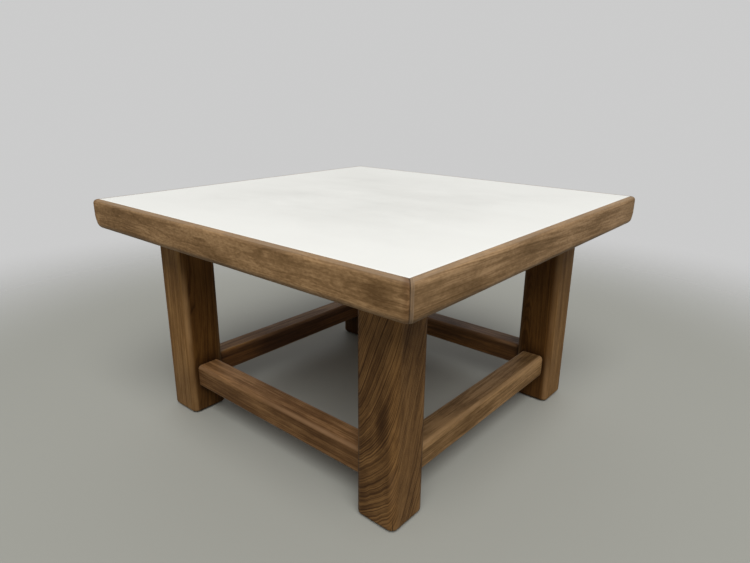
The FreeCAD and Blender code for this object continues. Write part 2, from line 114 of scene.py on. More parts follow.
# %% Node helpers
def fill_inputs(tree, node, inputs):
    """Sets a node's inputs: the output of another node is linked, and anything else is a fixed value."""
    for key, value in inputs.items():
        if isinstance(value, bpy.types.NodeSocket):
            tree.links.new(value, node.inputs[key])
        else:
            node.inputs[key].default_value = value


def add_node(tree, kind, inputs=None, **settings):
    """A new node with its settings and inputs."""
    made = tree.nodes.new(kind)
    for name, value in settings.items():
        setattr(made, name, value)
    fill_inputs(tree, made, inputs or {})
    return made


def maths(tree, operation, *values, clamp=False):
    """A sum on numbers."""
    made = add_node(tree, "ShaderNodeMath", dict(enumerate(values)), operation=operation, use_clamp=clamp)
    return made.outputs[0]


def vector_maths(tree, operation, *values):
    """A sum on places that gives a place."""
    made = add_node(tree, "ShaderNodeVectorMath", dict(enumerate(values)), operation=operation)
    return made.outputs[0]


def vector_number(tree, operation, *values):
    """A sum on places that gives a number, such as a length."""
    return vector_maths(tree, operation, *values).node.outputs["Value"]


def split_axes(tree, vector):
    """The x, y and z of a place."""
    return add_node(tree, "ShaderNodeSeparateXYZ", {0: vector}).outputs


def join(tree, x, y, z):
    """A place from its x, y and z."""
    return add_node(tree, "ShaderNodeCombineXYZ", {0: x, 1: y, 2: z}).outputs[0]


print("node helpers ready")

# %% [markdown]
# ## Small helpers for finishes
# A finish is a material whose colour, roughness and bump come from patterns. A picture could be wrapped
# round each piece, but it would stretch over the rounded edges and break where pieces meet. So every
# pattern is worked out from the place of a point on the table, in metres. These helpers make, level and
# blend patterns.


# %% Helpers that level and blend patterns
def centred(tree, value, amount):
    """A pattern from 0 to 1, made to swing between minus and plus an amount."""
    return maths(tree, "MULTIPLY", maths(tree, "SUBTRACT", value, 0.5), 2 * amount)


def eased(tree, value, start, end, curve="SMOOTHSTEP"):
    """0 where a value has not passed its start, 1 where it has passed its end."""
    inputs = {"Value": value, "From Min": start, "From Max": end}
    return add_node(tree, "ShaderNodeMapRange", inputs, interpolation_type=curve).outputs[0]


def ramp(tree, value, stops, interpolation="EASE"):
    """A level or a colour for each value, from stops of (value, level or colour)."""
    made = add_node(tree, "ShaderNodeValToRGB", {0: value})
    made.color_ramp.interpolation = interpolation
    while len(made.color_ramp.elements) < len(stops):
        made.color_ramp.elements.new(0.5)
    for element, (position, level) in zip(made.color_ramp.elements, stops):
        element.position = position
        element.color = (level, level, level, 1.0) if isinstance(level, float) else (*level, 1.0)
    return made.outputs[0]


def mixed(tree, factor, colour, tone, way="MIX"):
    """A colour with a fixed tone laid over it, as far as a factor says."""
    inputs = {0: factor, 6: colour, 7: (*tone, 1.0)}
    return add_node(tree, "ShaderNodeMix", inputs, data_type="RGBA", blend_type=way).outputs[2]


def bumped(tree, height, strength, distance):
    """The direction of a surface that is as uneven as a pattern says."""
    inputs = {"Strength": strength, "Distance": distance, "Height": height}
    return add_node(tree, "ShaderNodeBump", inputs).outputs[0]


print("blending helpers ready")


# %% Helpers that make patterns
def new_finish(name):
    """A new material, with its tree, its shader and the place of each point on the table."""
    material = bpy.data.materials.new(name)
    material.use_nodes = True
    tree = material.node_tree
    place = add_node(tree, "ShaderNodeTexCoord").outputs["Object"]
    return material, tree, tree.nodes["Principled BSDF"], place


def noise_at(tree, place, scale, detail, roughness=0.5):
    """Noise in space, from 0 to 1."""
    inputs = {"Vector": place, "Scale": scale, "Detail": detail, "Roughness": roughness}
    return add_node(tree, "ShaderNodeTexNoise", inputs).outputs[0]


def noise_along(tree, distance):
    """Noise along a line, from 0 to 1."""
    return add_node(tree, "ShaderNodeTexNoise", {"W": distance}, noise_dimensions="1D").outputs[0]


def streak_noise(tree, grain, waves, seed, detail=2.0):
    """Noise drawn out along the grain: waves are those per metre across it and along it."""
    across, along = waves
    place = vector_maths(tree, "MULTIPLY", grain, (across, across, along))
    shifted = vector_maths(tree, "ADD", place, (seed * 7.3, seed * 3.1, seed * 5.7))
    return noise_at(tree, shifted, 1.0, detail)


def smoky_patch(tree, place, centre, radii):
    """1 in the middle of a soft patch, 0 outside it."""
    moved = vector_maths(tree, "DIVIDE", vector_maths(tree, "SUBTRACT", place, centre), radii)
    return ramp(tree, vector_number(tree, "LENGTH", moved), [(0.1, 1.0), (1.0, 0.0)])


print("pattern helpers ready")

# %% [markdown]
# ## Growth rings in the solid
# Wood is a stack of yearly layers, and a board shows where its faces cut them. Every point of a board
# gets its distance from the heart of the tree, bent by slow noise, and that distance is cut into rings.
# Grain then runs round a corner by itself, as it does on a real post, which a flat picture on each face
# could not do. Years differ, so some rings come out wider and some darker. The near post is cut across a
# sweep in the tree: there the rings pass its faces at a slope that changes with the height, which is a
# second way to the same distance.

# %% Cut a distance into rings
RING_SHADES = [(0.0, 0.9), (0.12, 0.35), (0.35, 0.0), (0.62, 0.2), (0.86, 0.9), (1.0, 0.9)]
UNEVEN_YEARS = 1.1
UNEVEN_WAVES = 0.35
FAINTEST_YEAR = 0.45
YEAR_SPREAD = 0.7
CALM_GRAIN = 30 * MM


def ring_pattern(tree, radius, ring_width):
    """How dark the yearly layer is at a distance from the heart."""
    years = maths(tree, "DIVIDE", radius, ring_width)
    uneven = noise_along(tree, maths(tree, "MULTIPLY", years, UNEVEN_WAVES))
    years = maths(tree, "ADD", years, centred(tree, uneven, UNEVEN_YEARS))
    ring = ramp(tree, maths(tree, "FRACT", years), RING_SHADES)
    year = maths(tree, "FLOOR", years)
    tone = add_node(tree, "ShaderNodeTexWhiteNoise", {"W": year}, noise_dimensions="1D").outputs[0]
    return maths(tree, "MULTIPLY", ring, maths(tree, "MULTIPLY_ADD", tone, YEAR_SPREAD, FAINTEST_YEAR))


def sloping_rings(tree, place, arris, at_foot, at_head, height, climb):
    """The distance for rings that cross a post at a slope, with how far up and how calm each point is.

    How fast the rings pass in x and in y changes from the foot of the post to a height.
    """
    x, y, z = split_axes(tree, vector_maths(tree, "SUBTRACT", place, arris))
    risen = eased(tree, z, 0.0, height)
    passed = maths(tree, "MULTIPLY", z, -climb)
    for distance, foot, head in zip((x, y), at_foot, at_head):
        rate = maths(tree, "MULTIPLY_ADD", risen, head - foot, foot)
        passed = maths(tree, "MULTIPLY_ADD", distance, rate, passed)
    calm = eased(tree, x, -CALM_GRAIN, 0.0, "LINEAR")
    return passed, risen, maths(tree, "MAXIMUM", risen, calm)


print("a ring has", len(RING_SHADES), "shades")

# %% [markdown]
# ## The figure of a board
# An oiled board shows more than rings: broad streaks, thin threads, short flecks, fibres, open pores and
# slow clouds of tone. One noise could stand for all of them, but it looks like wood from one distance
# only. So each is a noise of its own length along the grain, and each adds its share to how deep the tone
# is at a point. Two boards also have a smoky patch, which deepens the tone in one place.

# %% The figure's own values
# Waves are those per metre, first across the grain and then along it. Depths and shares are parts of the
# way from a board's pale tone to its dark one.
PLAIN_FIGURE = dict(
    ring_width=4.5 * MM,
    heart_distance=100 * MM,
    slope=None,
    ring_strength=0.6,
    sway=8 * MM,
    sway_waves=(7.0, 2.0),
    ripple=0.9 * MM,
    side_grain=1.0,
    streaks=0.5,
    flecks=0.2,
    fleck_waves=(380.0, 80.0),
    mottle=0.5,
    patch=None,
)
RIPPLE_WAVES = (55.0, 9.0)
STREAK_WAVES = (110.0, 5.0)
THREAD_WAVES = (330.0, 13.0)
FIBRE_WAVES = (700.0, 18.0)
PORE_WAVES = (800.0, 30.0)
PORE_LEVELS = [(0.60, 0.0), (0.72, 1.0)]
CLOUD_WAVES = (22.0, 8.0)
MEAN_DEPTH = 0.46
RING_ALLOWANCE = 0.32
THREAD_SHARE = 0.7
FIBRE_SHARE = 0.22
PORE_SHARE = 0.14
PATCH_SHARE = 0.45
CALM_LOSS = 0.35
RISEN_GAIN = 0.3
SLOPE_PALER = 0.12
RISEN_DEEPER = 0.11
print("a plain board has", len(PLAIN_FIGURE), "values")


# %% How deep the tone is
def ring_distance(tree, place, board, seed, figure):
    """The distance that is cut into rings, how boldly the rings show, and the depth of tone between them."""
    strength = figure["ring_strength"]
    base = MEAN_DEPTH - RING_ALLOWANCE * strength
    slow = centred(tree, streak_noise(tree, board, figure["sway_waves"], seed), figure["sway"])
    quick = centred(tree, streak_noise(tree, board, RIPPLE_WAVES, seed + 1), figure["ripple"])
    bend = maths(tree, "ADD", slow, quick)
    if figure["slope"]:
        passed, risen, calm = sloping_rings(tree, place, **figure["slope"])
        boldness = maths(tree, "MULTIPLY_ADD", calm, -CALM_LOSS * strength, strength)
        boldness = maths(tree, "MULTIPLY_ADD", risen, RISEN_GAIN * strength, boldness)
        base = maths(tree, "MULTIPLY_ADD", risen, RISEN_DEEPER, base - SLOPE_PALER)
        return maths(tree, "ADD", passed, bend), boldness, base
    across, beside, _ = split_axes(tree, board)
    outward = maths(tree, "ADD", maths(tree, "ADD", across, bend), figure["heart_distance"])
    return vector_number(tree, "LENGTH", join(tree, outward, beside, 0.0)), strength, base


def wood_figure(tree, place, heart, turn, seed, figure):
    """The patterns of a board that its finish needs, and the depth of tone that they add up to."""
    laid = {"Vector": place, "Location": heart, "Rotation": turn}
    board = add_node(tree, "ShaderNodeMapping", laid, vector_type="TEXTURE").outputs[0]
    radius, boldness, depth = ring_distance(tree, place, board, seed, figure)
    _, beside, along = split_axes(tree, board)
    grain = join(tree, radius, maths(tree, "MULTIPLY", beside, figure["side_grain"]), along)

    def drawn_out(where, waves, shift, detail=3.0):
        return centred(tree, streak_noise(tree, where, waves, seed + shift, detail), 1.0)

    ring = ring_pattern(tree, radius, figure["ring_width"])
    fibre = drawn_out(grain, FIBRE_WAVES, 3)
    cloud = drawn_out(board, CLOUD_WAVES, 4, 4.0)
    pores = ramp(tree, streak_noise(tree, grain, PORE_WAVES, seed + 5, 1.0), PORE_LEVELS)
    shares = [
        (ring, boldness),
        (drawn_out(grain, STREAK_WAVES, 2), figure["streaks"]),
        (drawn_out(grain, THREAD_WAVES, 6), THREAD_SHARE * figure["streaks"]),
        (drawn_out(grain, figure["fleck_waves"], 7), figure["flecks"]),
        (cloud, figure["mottle"]),
        (fibre, FIBRE_SHARE),
    ]
    if figure["patch"]:
        shares.append((smoky_patch(tree, place, **figure["patch"]), PATCH_SHARE))
    for pattern, share in shares:
        depth = maths(tree, "MULTIPLY_ADD", pattern, share, depth)
    depth = maths(tree, "MULTIPLY_ADD", pores, PORE_SHARE, depth, clamp=True)
    return dict(depth=depth, ring=ring, fibre=fibre, cloud=cloud, pores=pores, along=along)


print("figure ready, mean depth", MEAN_DEPTH)

# %% [markdown]
# ## Marks of use
# Hands have rubbed the edges, and on the rails painted shade is mixed into the rubbed tone. Dirt and
# painted shade lie where pieces meet, and painted light and shade make some faces lighter or darker. The
# marks could be painted on by hand, but then a change of shape would leave them behind. So each is a short
# function that takes the colour so far and lays one mark over it, placed by the sizes of the table or by
# two numbers that the meshes carry: how near a point is to an edge, and how far it lies from a mitre. The
# board's own clouds break the marks up, so that none of them looks ruled.

# %% Worn edges, faces toned with painted light and shade, and joints with dirt and painted shade
# A dark tone for dirt at the mitres, and for dirt with painted shade at the ends of the stretchers.
DIRT_AND_SHADE = (0.05, 0.028, 0.014)
JOINT_SOIL_AND_SHADE = (0.22, 0.16, 0.12)
SOILED_SHADED_JOINT = 54 * MM
SOILED_SHADED_END = 5 * MM
EDGE_CLOUD = 0.8


def carried(tree, name):
    """A number that the mesh carries at each point."""
    return add_node(tree, "ShaderNodeAttribute", attribute_name=name).outputs["Fac"]


def broken_up(tree, mark, cloud, change, level):
    """A mark that comes and goes with the clouds, about a level."""
    return maths(tree, "MULTIPLY", mark, maths(tree, "MULTIPLY_ADD", cloud, change, level, clamp=True))


def worn_edges(tree, colour, cloud, wear, tone):
    rubbed = broken_up(tree, carried(tree, "arris"), cloud, EDGE_CLOUD, wear)
    return mixed(tree, rubbed, colour, tone)


def face_tone(tree, place, colour, axis, start, end, tone):
    """Tones what lies along an axis: not at its start, fully at its end."""
    reached = eased(tree, split_axes(tree, place)[axis], start, end)
    return mixed(tree, reached, colour, tone, "MULTIPLY")


# Dirt and painted shade round the place where a stretcher meets a post.
def soiled_shaded_joint(tree, place, colour, joint):
    soiled = smoky_patch(tree, place, joint, (SOILED_SHADED_JOINT,) * 3)
    return mixed(tree, soiled, colour, JOINT_SOIL_AND_SHADE, "MULTIPLY")


def soiled_shaded_ends(tree, colour, along, half_length):
    """Dirt and painted shade in the last few millimetres at both ends of a bar, whole from half way."""
    past = maths(tree, "SUBTRACT", maths(tree, "ABSOLUTE", along), half_length - SOILED_SHADED_END)
    return mixed(tree, maths(tree, "DIVIDE", past, SOILED_SHADED_END / 2, clamp=True), colour, DIRT_AND_SHADE)


print("soiled joint", round(SOILED_SHADED_JOINT / MM), "mm, soiled end", round(SOILED_SHADED_END / MM), "mm")

# %% Marks at the mitres and a drying crack
MITRE_LINE = 1.1 * MM
WIDE_MITRE_LINE = 2.5 * MITRE_LINE
MITRE_CLOUD = 1.2
STRIP_TONE = (0.215, 0.148, 0.093)
STRIP_EDGE_TONE = (0.40, 0.27, 0.16)
STRIP_EDGE_PLACE = 0.8
STRIP_EDGE_LEVEL = 0.7
STRIP_LEVEL = 0.6
CORNER_LEVEL = 0.7
LINE_LEVEL = 0.75
SOILED_CORNER = 14 * MM
CORNER_SOIL = (0.66, 0.58, 0.54)
CRACK_TONE = (0.012, 0.007, 0.004)
CRACK_WAVES = 90.0
CRACK_WOBBLE = 1.2 * MM
CRACK_SHARPNESS = 6


def worn_mitre_strip(tree, colour, cloud, from_mitre, width):
    """A dull strip beside the mitre, with a paler line along its edge."""
    strip = ramp(tree, maths(tree, "DIVIDE", from_mitre, width), [(0.85, 1.0), (1.1, 0.0)])
    colour = mixed(tree, broken_up(tree, strip, cloud, MITRE_CLOUD, STRIP_LEVEL), colour, STRIP_TONE)
    from_edge = maths(tree, "ABSOLUTE", maths(tree, "SUBTRACT", from_mitre, STRIP_EDGE_PLACE * width))
    from_edge = maths(tree, "DIVIDE", from_edge, MITRE_LINE)
    edge = maths(tree, "SUBTRACT", STRIP_EDGE_LEVEL, from_edge, clamp=True)
    return mixed(tree, edge, colour, STRIP_EDGE_TONE)


def soiled_mitre_corner(tree, colour, cloud, from_mitre):
    soiled = ramp(tree, maths(tree, "DIVIDE", from_mitre, SOILED_CORNER), [(0.3, 1.0), (1.0, 0.0)])
    soiled = broken_up(tree, soiled, cloud, MITRE_CLOUD, CORNER_LEVEL)
    return mixed(tree, soiled, colour, CORNER_SOIL, "MULTIPLY")


def mitre_marks(tree, colour, cloud, worn_strip):
    """What shows beside a mitre, and the dark line of the mitre itself."""
    from_mitre = carried(tree, "from_mitre")
    if worn_strip:
        line_width = MITRE_LINE
        colour = worn_mitre_strip(tree, colour, cloud, from_mitre, worn_strip)
    else:
        line_width = WIDE_MITRE_LINE
        colour = soiled_mitre_corner(tree, colour, cloud, from_mitre)
    line = maths(tree, "SUBTRACT", 1.0, maths(tree, "DIVIDE", from_mitre, line_width), clamp=True)
    return mixed(tree, broken_up(tree, line, cloud, MITRE_CLOUD, LINE_LEVEL), colour, DIRT_AND_SHADE)


def drying_split(tree, place, foot, direction, height, width):
    """A crack that rises from a point at the foot and closes at its height: 1 in the crack, 0 beside it."""
    moved = vector_maths(tree, "SUBTRACT", place, foot)
    _, _, up = split_axes(tree, moved)
    wobble = centred(tree, noise_along(tree, maths(tree, "MULTIPLY", up, CRACK_WAVES)), CRACK_WOBBLE)
    sideways = maths(tree, "ADD", vector_number(tree, "DOT_PRODUCT", moved, direction), wobble)
    still_open = maths(tree, "SUBTRACT", 1.0, maths(tree, "DIVIDE", up, height), clamp=True)
    half_gap = maths(tree, "MULTIPLY", still_open, width / 2)
    inside = maths(tree, "SUBTRACT", half_gap, maths(tree, "ABSOLUTE", sideways))
    return maths(tree, "MULTIPLY", inside, CRACK_SHARPNESS / width, clamp=True)


print("mitre line", round(MITRE_LINE / MM, 2), "mm, soiled corner", round(SOILED_CORNER / MM), "mm")

# %% [markdown]
# ## The oiled timber
# A board's colour runs from its pale tone to its dark one with the depth of its figure. The marks are
# laid over that, and rings, pores and fibres sink a little below the surface. Each board could have a
# material built from nothing, but one function for all of them keeps the table in one kind of wood, and
# each call then says only what is special to its board: the place of its heart, the way its grain faces,
# its tones and its marks.

# %% Put the timber together
RUBBED_GAIN = 1.1
RUBBED_LIFT = 0.03
RING_RELIEF = -0.45
PORE_RELIEF = -0.8
FIBRE_RELIEF = -0.35
CRACK_RELIEF = -3.0
PALE_ROUGHNESS = 0.52
DEEP_ROUGHNESS = 0.16
GRAIN_BUMP = 0.35
GRAIN_HEIGHT = 0.35 * MM


def timber(
    name,
    heart,
    turn,
    seed,
    pale,
    dark,
    sheen=0.12,
    wear=0.3,
    edge_wear_and_shade=None,
    faces=(),
    joints=(),
    half_length=None,
    mitred=False,
    worn_strip=None,
    split=None,
    **figure,
):
    """Oiled timber. heart is a point on the board's middle line, turn the way its grain and rings face."""
    material, tree, shader, place = new_finish(name)
    wood = wood_figure(tree, place, heart, turn, seed, {**PLAIN_FIGURE, **figure})
    middle = tuple(math.sqrt(a * b) for a, b in zip(pale, dark))
    colour = ramp(tree, wood["depth"], [(0.0, pale), (0.5, middle), (1.0, dark)], "LINEAR")
    for face in faces:
        colour = face_tone(tree, place, colour, **face)
    for joint in joints:
        colour = soiled_shaded_joint(tree, place, colour, joint)
    # On the rails the edge tone is partly wear and partly painted shade.
    rubbed = edge_wear_and_shade or tuple(RUBBED_GAIN * level + RUBBED_LIFT for level in pale)
    colour = worn_edges(tree, colour, wood["cloud"], wear, rubbed)
    if half_length:
        colour = soiled_shaded_ends(tree, colour, wood["along"], half_length)
    if mitred:
        colour = mitre_marks(tree, colour, wood["cloud"], worn_strip)
    relief = maths(tree, "MULTIPLY", wood["pores"], PORE_RELIEF)
    relief = maths(tree, "MULTIPLY_ADD", wood["ring"], RING_RELIEF, relief)
    relief = maths(tree, "MULTIPLY_ADD", wood["fibre"], FIBRE_RELIEF, relief)
    if split:
        crack = drying_split(tree, place, **split)
        colour = mixed(tree, crack, colour, CRACK_TONE)
        relief = maths(tree, "MULTIPLY_ADD", crack, CRACK_RELIEF, relief)
    surface = {
        "Base Color": colour,
        "Roughness": maths(tree, "MULTIPLY_ADD", wood["depth"], DEEP_ROUGHNESS, PALE_ROUGHNESS),
        "Specular IOR Level": sheen,
        "Normal": bumped(tree, relief, GRAIN_BUMP, GRAIN_HEIGHT),
    }
    fill_inputs(tree, shader, surface)
    return material


print("timber ready, roughness from", PALE_ROUGHNESS, "to", round(PALE_ROUGHNESS + DEEP_ROUGHNESS, 2))


# %% How a board lies
def facing(along, ring_degrees=0.0, lean_degrees=0.0):
    """The turn that lays a board's grain along x, y or z, with its rings turned about the grain."""
    lay = {"x": Matrix.Rotation(math.radians(90), 3, "Y"), "y": Matrix.Rotation(math.radians(-90), 3, "X")}
    rings = Matrix.Rotation(math.radians(ring_degrees), 3, "Z")
    lean = Matrix.Rotation(math.radians(lean_degrees), 3, "Y")
    return (lay.get(along, Matrix.Identity(3)) @ rings @ lean).to_euler()


print("a board along x is turned by", [round(math.degrees(angle)) for angle in facing("x")], "degrees")

# %% [markdown]
# ## A worked bar, as a rule
# Posts and stretchers are one shape with different numbers: a bar with rounded edges whose ends are
# eased. A box with a bevel would come near it, but not with a different rounding at each end or the
# slight waviness of hand sanding. A Geometry Nodes tree states the whole rule once. It presses a plain
# cylinder onto a rounded rectangle, packs its rings closer towards both ends, draws the ends in along a
# quarter circle, and moves the surface by noise. It also stores how near each point is to a rounded edge,
# for the finish to wear it there.

# %% Parts of the worked bar tree
SANDING_WAVES = 26.0
SANDING_STRETCH = 0.4
SANDED_FLAT = 0.8
SANDED_EDGE = -1.8


def new_shape_tree(name, sockets):
    """An empty tree that takes the named sockets and gives a shape, with what it is given."""
    tree = bpy.data.node_groups.new(name, "GeometryNodeTree")
    for socket_name, kind in sockets.items():
        tree.interface.new_socket(name=socket_name, in_out="INPUT", socket_type=f"NodeSocket{kind}")
    tree.interface.new_socket(name="Geometry", in_out="OUTPUT", socket_type="NodeSocketGeometry")
    return tree, tree.nodes.new("NodeGroupInput").outputs


def end_shape_tree(tree, shape, material):
    """Makes the shape real, gives it its finish and hands it out."""
    real = add_node(tree, "GeometryNodeRealizeInstances", {0: shape}).outputs[0]
    painted = add_node(tree, "GeometryNodeSetMaterial", {"Geometry": real, "Material": material}).outputs[0]
    tree.links.new(painted, tree.nodes.new("NodeGroupOutput").inputs[0])


def rounded_plan(tree, given, x, y):
    """A circle pressed onto a rectangle: its x and y there, the unrounded core and the way out."""
    reach = maths(tree, "MAXIMUM", maths(tree, "ABSOLUTE", x), maths(tree, "ABSOLUTE", y))
    pressed = []
    flats = []
    for distance, size in ((x, given["Width"]), (y, given["Depth"])):
        half = maths(tree, "MULTIPLY", size, 0.5)
        pressed.append(maths(tree, "MULTIPLY", maths(tree, "DIVIDE", distance, reach), half))
        flats.append(maths(tree, "SUBTRACT", half, given["Edge round"]))
    square = join(tree, *pressed, 0.0)
    flat = join(tree, *flats, 0.0)
    low = vector_maths(tree, "MULTIPLY", flat, (-1.0, -1.0, -1.0))
    core = vector_maths(tree, "MINIMUM", vector_maths(tree, "MAXIMUM", square, low), flat)
    outward = vector_maths(tree, "NORMALIZE", vector_maths(tree, "SUBTRACT", square, core))
    return pressed, core, outward


def drawn_in(tree, distance, radius):
    """How far a quarter circle draws the bar in, at a distance from its end."""
    short = maths(tree, "MAXIMUM", maths(tree, "SUBTRACT", radius, distance), 0.0)
    squared = maths(tree, "SUBTRACT", maths(tree, "POWER", radius, 2.0), maths(tree, "POWER", short, 2.0))
    return maths(tree, "SUBTRACT", radius, maths(tree, "SQRT", maths(tree, "MAXIMUM", squared, 0.0)))


def hand_sanded(tree, given, pressed, height, edge):
    """How far sanding has moved each point: in and out on the flats, only in on the edges."""
    spot = join(tree, *pressed, maths(tree, "MULTIPLY", height, SANDING_STRETCH))
    spot = vector_maths(tree, "ADD", spot, join(tree, given["Seed"], given["Seed"], given["Seed"]))
    wave = noise_at(tree, spot, SANDING_WAVES, 2.0)
    on_edge = maths(tree, "MULTIPLY", maths(tree, "MULTIPLY", edge, wave), SANDED_EDGE)
    moved = maths(tree, "ADD", centred(tree, wave, SANDED_FLAT), on_edge)
    return maths(tree, "MULTIPLY", moved, given["Waviness"])


print("tree parts ready, sanding of", SANDING_WAVES, "waves per metre")

# %% The worked bar tree
BAR_LENGTHS = ("Length", "Width", "Depth", "Edge round", "Start round", "End round", "Waviness", "Seed")
BAR_COUNTS = ("Round count", "Length count")
BAR_SOCKETS = dict.fromkeys(BAR_LENGTHS, "Float")
BAR_SOCKETS.update(dict.fromkeys(BAR_COUNTS, "Int"))
BAR_SOCKETS.update({"Material": "Material"})
END_WEAR = 6 * MM


def worked_bar_tree():
    tree, given = new_shape_tree("worked_bar", BAR_SOCKETS)
    counts = {"Vertices": given["Round count"], "Side Segments": given["Length count"]}
    tube = add_node(
        tree, "GeometryNodeMeshCylinder", {**counts, "Radius": 1.0, "Depth": 2.0}, fill_type="NGON"
    ).outputs["Mesh"]
    x, y, z = split_axes(tree, tree.nodes.new("GeometryNodeInputPosition").outputs[0])
    pressed, core, outward = rounded_plan(tree, given, x, y)
    swing = maths(tree, "SINE", maths(tree, "MULTIPLY", z, math.pi / 2))
    height = maths(tree, "MULTIPLY", maths(tree, "MULTIPLY_ADD", swing, 0.5, 0.5), given["Length"])
    start = drawn_in(tree, height, given["Start round"])
    end = drawn_in(tree, maths(tree, "SUBTRACT", given["Length"], height), given["End round"])
    inset = maths(tree, "ADD", start, end)

    out_x, out_y, _ = split_axes(tree, outward)
    edge = maths(tree, "MULTIPLY", maths(tree, "ABSOLUTE", maths(tree, "MULTIPLY", out_x, out_y)), 2.0)
    sanded = hand_sanded(tree, given, pressed, height, edge)
    radius = maths(tree, "ADD", maths(tree, "SUBTRACT", given["Edge round"], inset), sanded)
    rounded = add_node(tree, "ShaderNodeVectorMath", {0: outward, "Scale": radius}, operation="SCALE")
    plan = vector_maths(tree, "ADD", core, rounded.outputs[0])
    shaped = vector_maths(tree, "ADD", plan, join(tree, 0.0, 0.0, height))
    moved = add_node(tree, "GeometryNodeSetPosition", {"Geometry": tube, "Position": shaped}).outputs[0]
    arris = maths(tree, "MAXIMUM", edge, maths(tree, "MULTIPLY", inset, 1 / END_WEAR), clamp=True)
    stored = add_node(
        tree,
        "GeometryNodeStoreNamedAttribute",
        {"Geometry": moved, "Name": "arris", "Value": arris},
        data_type="FLOAT",
        domain="POINT",
    ).outputs[0]
    smooth = add_node(tree, "GeometryNodeSetShadeSmooth", {0: stored}).outputs[0]
    end_shape_tree(tree, smooth, given["Material"])
    return tree


WORKED_BAR = worked_bar_tree()
print("tree", WORKED_BAR.name, len(WORKED_BAR.nodes), "nodes")

# %% [markdown]
# ## From a tree to a kept piece
# A tree's shape lasts only as long as the modifier that works it out. It could stay live, but a plain
# mesh is the same for whoever opens it. So the tree is run once on a holder, its mesh is kept and the
# holder goes. The piece then sits at the origin, rides on the table and stands for the joinery nodes that
# it covers.

# %% Run a tree and keep the piece
WAVINESS = 0.35 * MM
LENGTH_COUNT = 150


def from_tree(tree, name, given, base=None):
    """The mesh that a tree makes from what it is given."""
    holder = bpy.data.objects.new(name, base or bpy.data.meshes.new(name))
    bpy.context.scene.collection.objects.link(holder)
    modifier = holder.modifiers.new("shape", "NODES")
    modifier.node_group = tree
    for socket in tree.interface.items_tree:
        if socket.in_out == "INPUT" and socket.name in given:
            modifier[socket.identifier] = given[socket.name]
    graph = bpy.context.evaluated_depsgraph_get()
    mesh = bpy.data.meshes.new_from_object(holder.evaluated_get(graph), depsgraph=graph)
    bpy.data.objects.remove(holder)
    mesh.name = name
    return mesh


def worked_bar(name, size, rounds, seed, round_count, finish):
    """A bar's mesh: size is its length, width and depth, rounds those of its edges, start and end."""
    given = dict(zip(BAR_LENGTHS, (*size, *rounds, WAVINESS, seed)))
    given.update(zip(BAR_COUNTS, (round_count, LENGTH_COUNT)))
    return from_tree(WORKED_BAR, name, {**given, "Material": finish})


def keep_mesh(mesh, name, node_names, material=None):
    """A finished piece at the origin, riding on the table and standing for its joinery nodes."""
    piece = bpy.data.objects.new(name, mesh)
    bpy.context.scene.collection.objects.link(piece)
    if material:
        mesh.materials.clear()
        mesh.materials.append(material)
    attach(piece, "root")
    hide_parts(*node_names)
    return piece


print("bars get", LENGTH_COUNT, "rings along their length")

# %% [markdown]
# ## The posts
# Each leg is a square post with well rounded edges and a rounded foot. One post could be copied to all
# four corners, but they are cut from different boards. The near one is dark and strongly figured, with
# rings that sweep across it, a smoky patch and a small crack at its foot, and the others are straight
# grained. So each is made from its own board. All of them are darker at the foot, and painted light makes
# them paler towards the head, under the rail. Painted shade darkens the two faces that look in under the
# table, and dirt together with painted shade darkens the places where stretchers meet them.

# %% The boards for the posts
NEAR_ARRIS = (leg_high[0], leg_low[1], 0.0)
NEAR_SLOPE = dict(arris=NEAR_ARRIS, at_foot=(0.2, 0.48), at_head=(0.65, 0.75), height=240 * MM, climb=0.25)
NEAR_PATCH = dict(centre=(leg_high[0] - 24.5 * MM, leg_low[1], 185 * MM), radii=(16 * MM, 30 * MM, 50 * MM))
CRACK_INSET = 7 * MM
CRACK = dict(
    foot=(leg_high[0] - CRACK_INSET, leg_low[1] + CRACK_INSET, 0.0),
    direction=(math.sqrt(0.5), math.sqrt(0.5), 0.0),
    height=35 * MM,
    width=1.8 * MM,
)
# The tone for each head is painted light: it makes the upper part of each post paler where the rail's shadow
# falls.
LEG_BOARDS = {
    "front_left": dict(
        turn=facing("z", 20, 1),
        pale=(0.36, 0.197, 0.067),
        dark=(0.1165, 0.0515, 0.0132),
        foot_tone=(0.70, 0.71, 0.77),
        painted_head_light=(1.14, 1.16, 1.2),
        ring_width=3.4 * MM,
        seed=1.0,
    ),
    "front_right": dict(
        turn=facing("z"),
        pale=(0.226, 0.1167, 0.0392),
        dark=(0.0415, 0.0173, 0.0046),
        foot_tone=(0.92, 0.92, 0.92),
        painted_head_light=(1.32, 1.32, 1.32),
        ring_width=2.0 * MM,
        slope=NEAR_SLOPE,
        ring_strength=0.8,
        sway=2 * MM,
        sway_waves=(30.0, 10.0),
        ripple=0.5 * MM,
        side_grain=0.2,
        mottle=0.6,
        wear=0.05,
        patch=NEAR_PATCH,
        split=CRACK,
        seed=2.0,
    ),
    "back_right": dict(
        turn=facing("z", 75, -1),
        pale=(0.2887, 0.156, 0.053),
        dark=(0.0975, 0.0437, 0.0109),
        foot_tone=(0.96, 0.96, 0.96),
        painted_head_light=(1.17, 1.15, 1.12),
        ring_width=3.0 * MM,
        seed=3.0,
    ),
    "back_left": dict(
        turn=facing("z", 130, 2),
        pale=(0.2826, 0.1534, 0.0501),
        dark=(0.0929, 0.042, 0.0104),
        foot_tone=(0.85, 0.85, 0.88),
        painted_head_light=(1.1, 1.1, 1.1),
        ring_width=3.8 * MM,
        seed=4.0,
    ),
}
print("post boards", ", ".join(LEG_BOARDS))

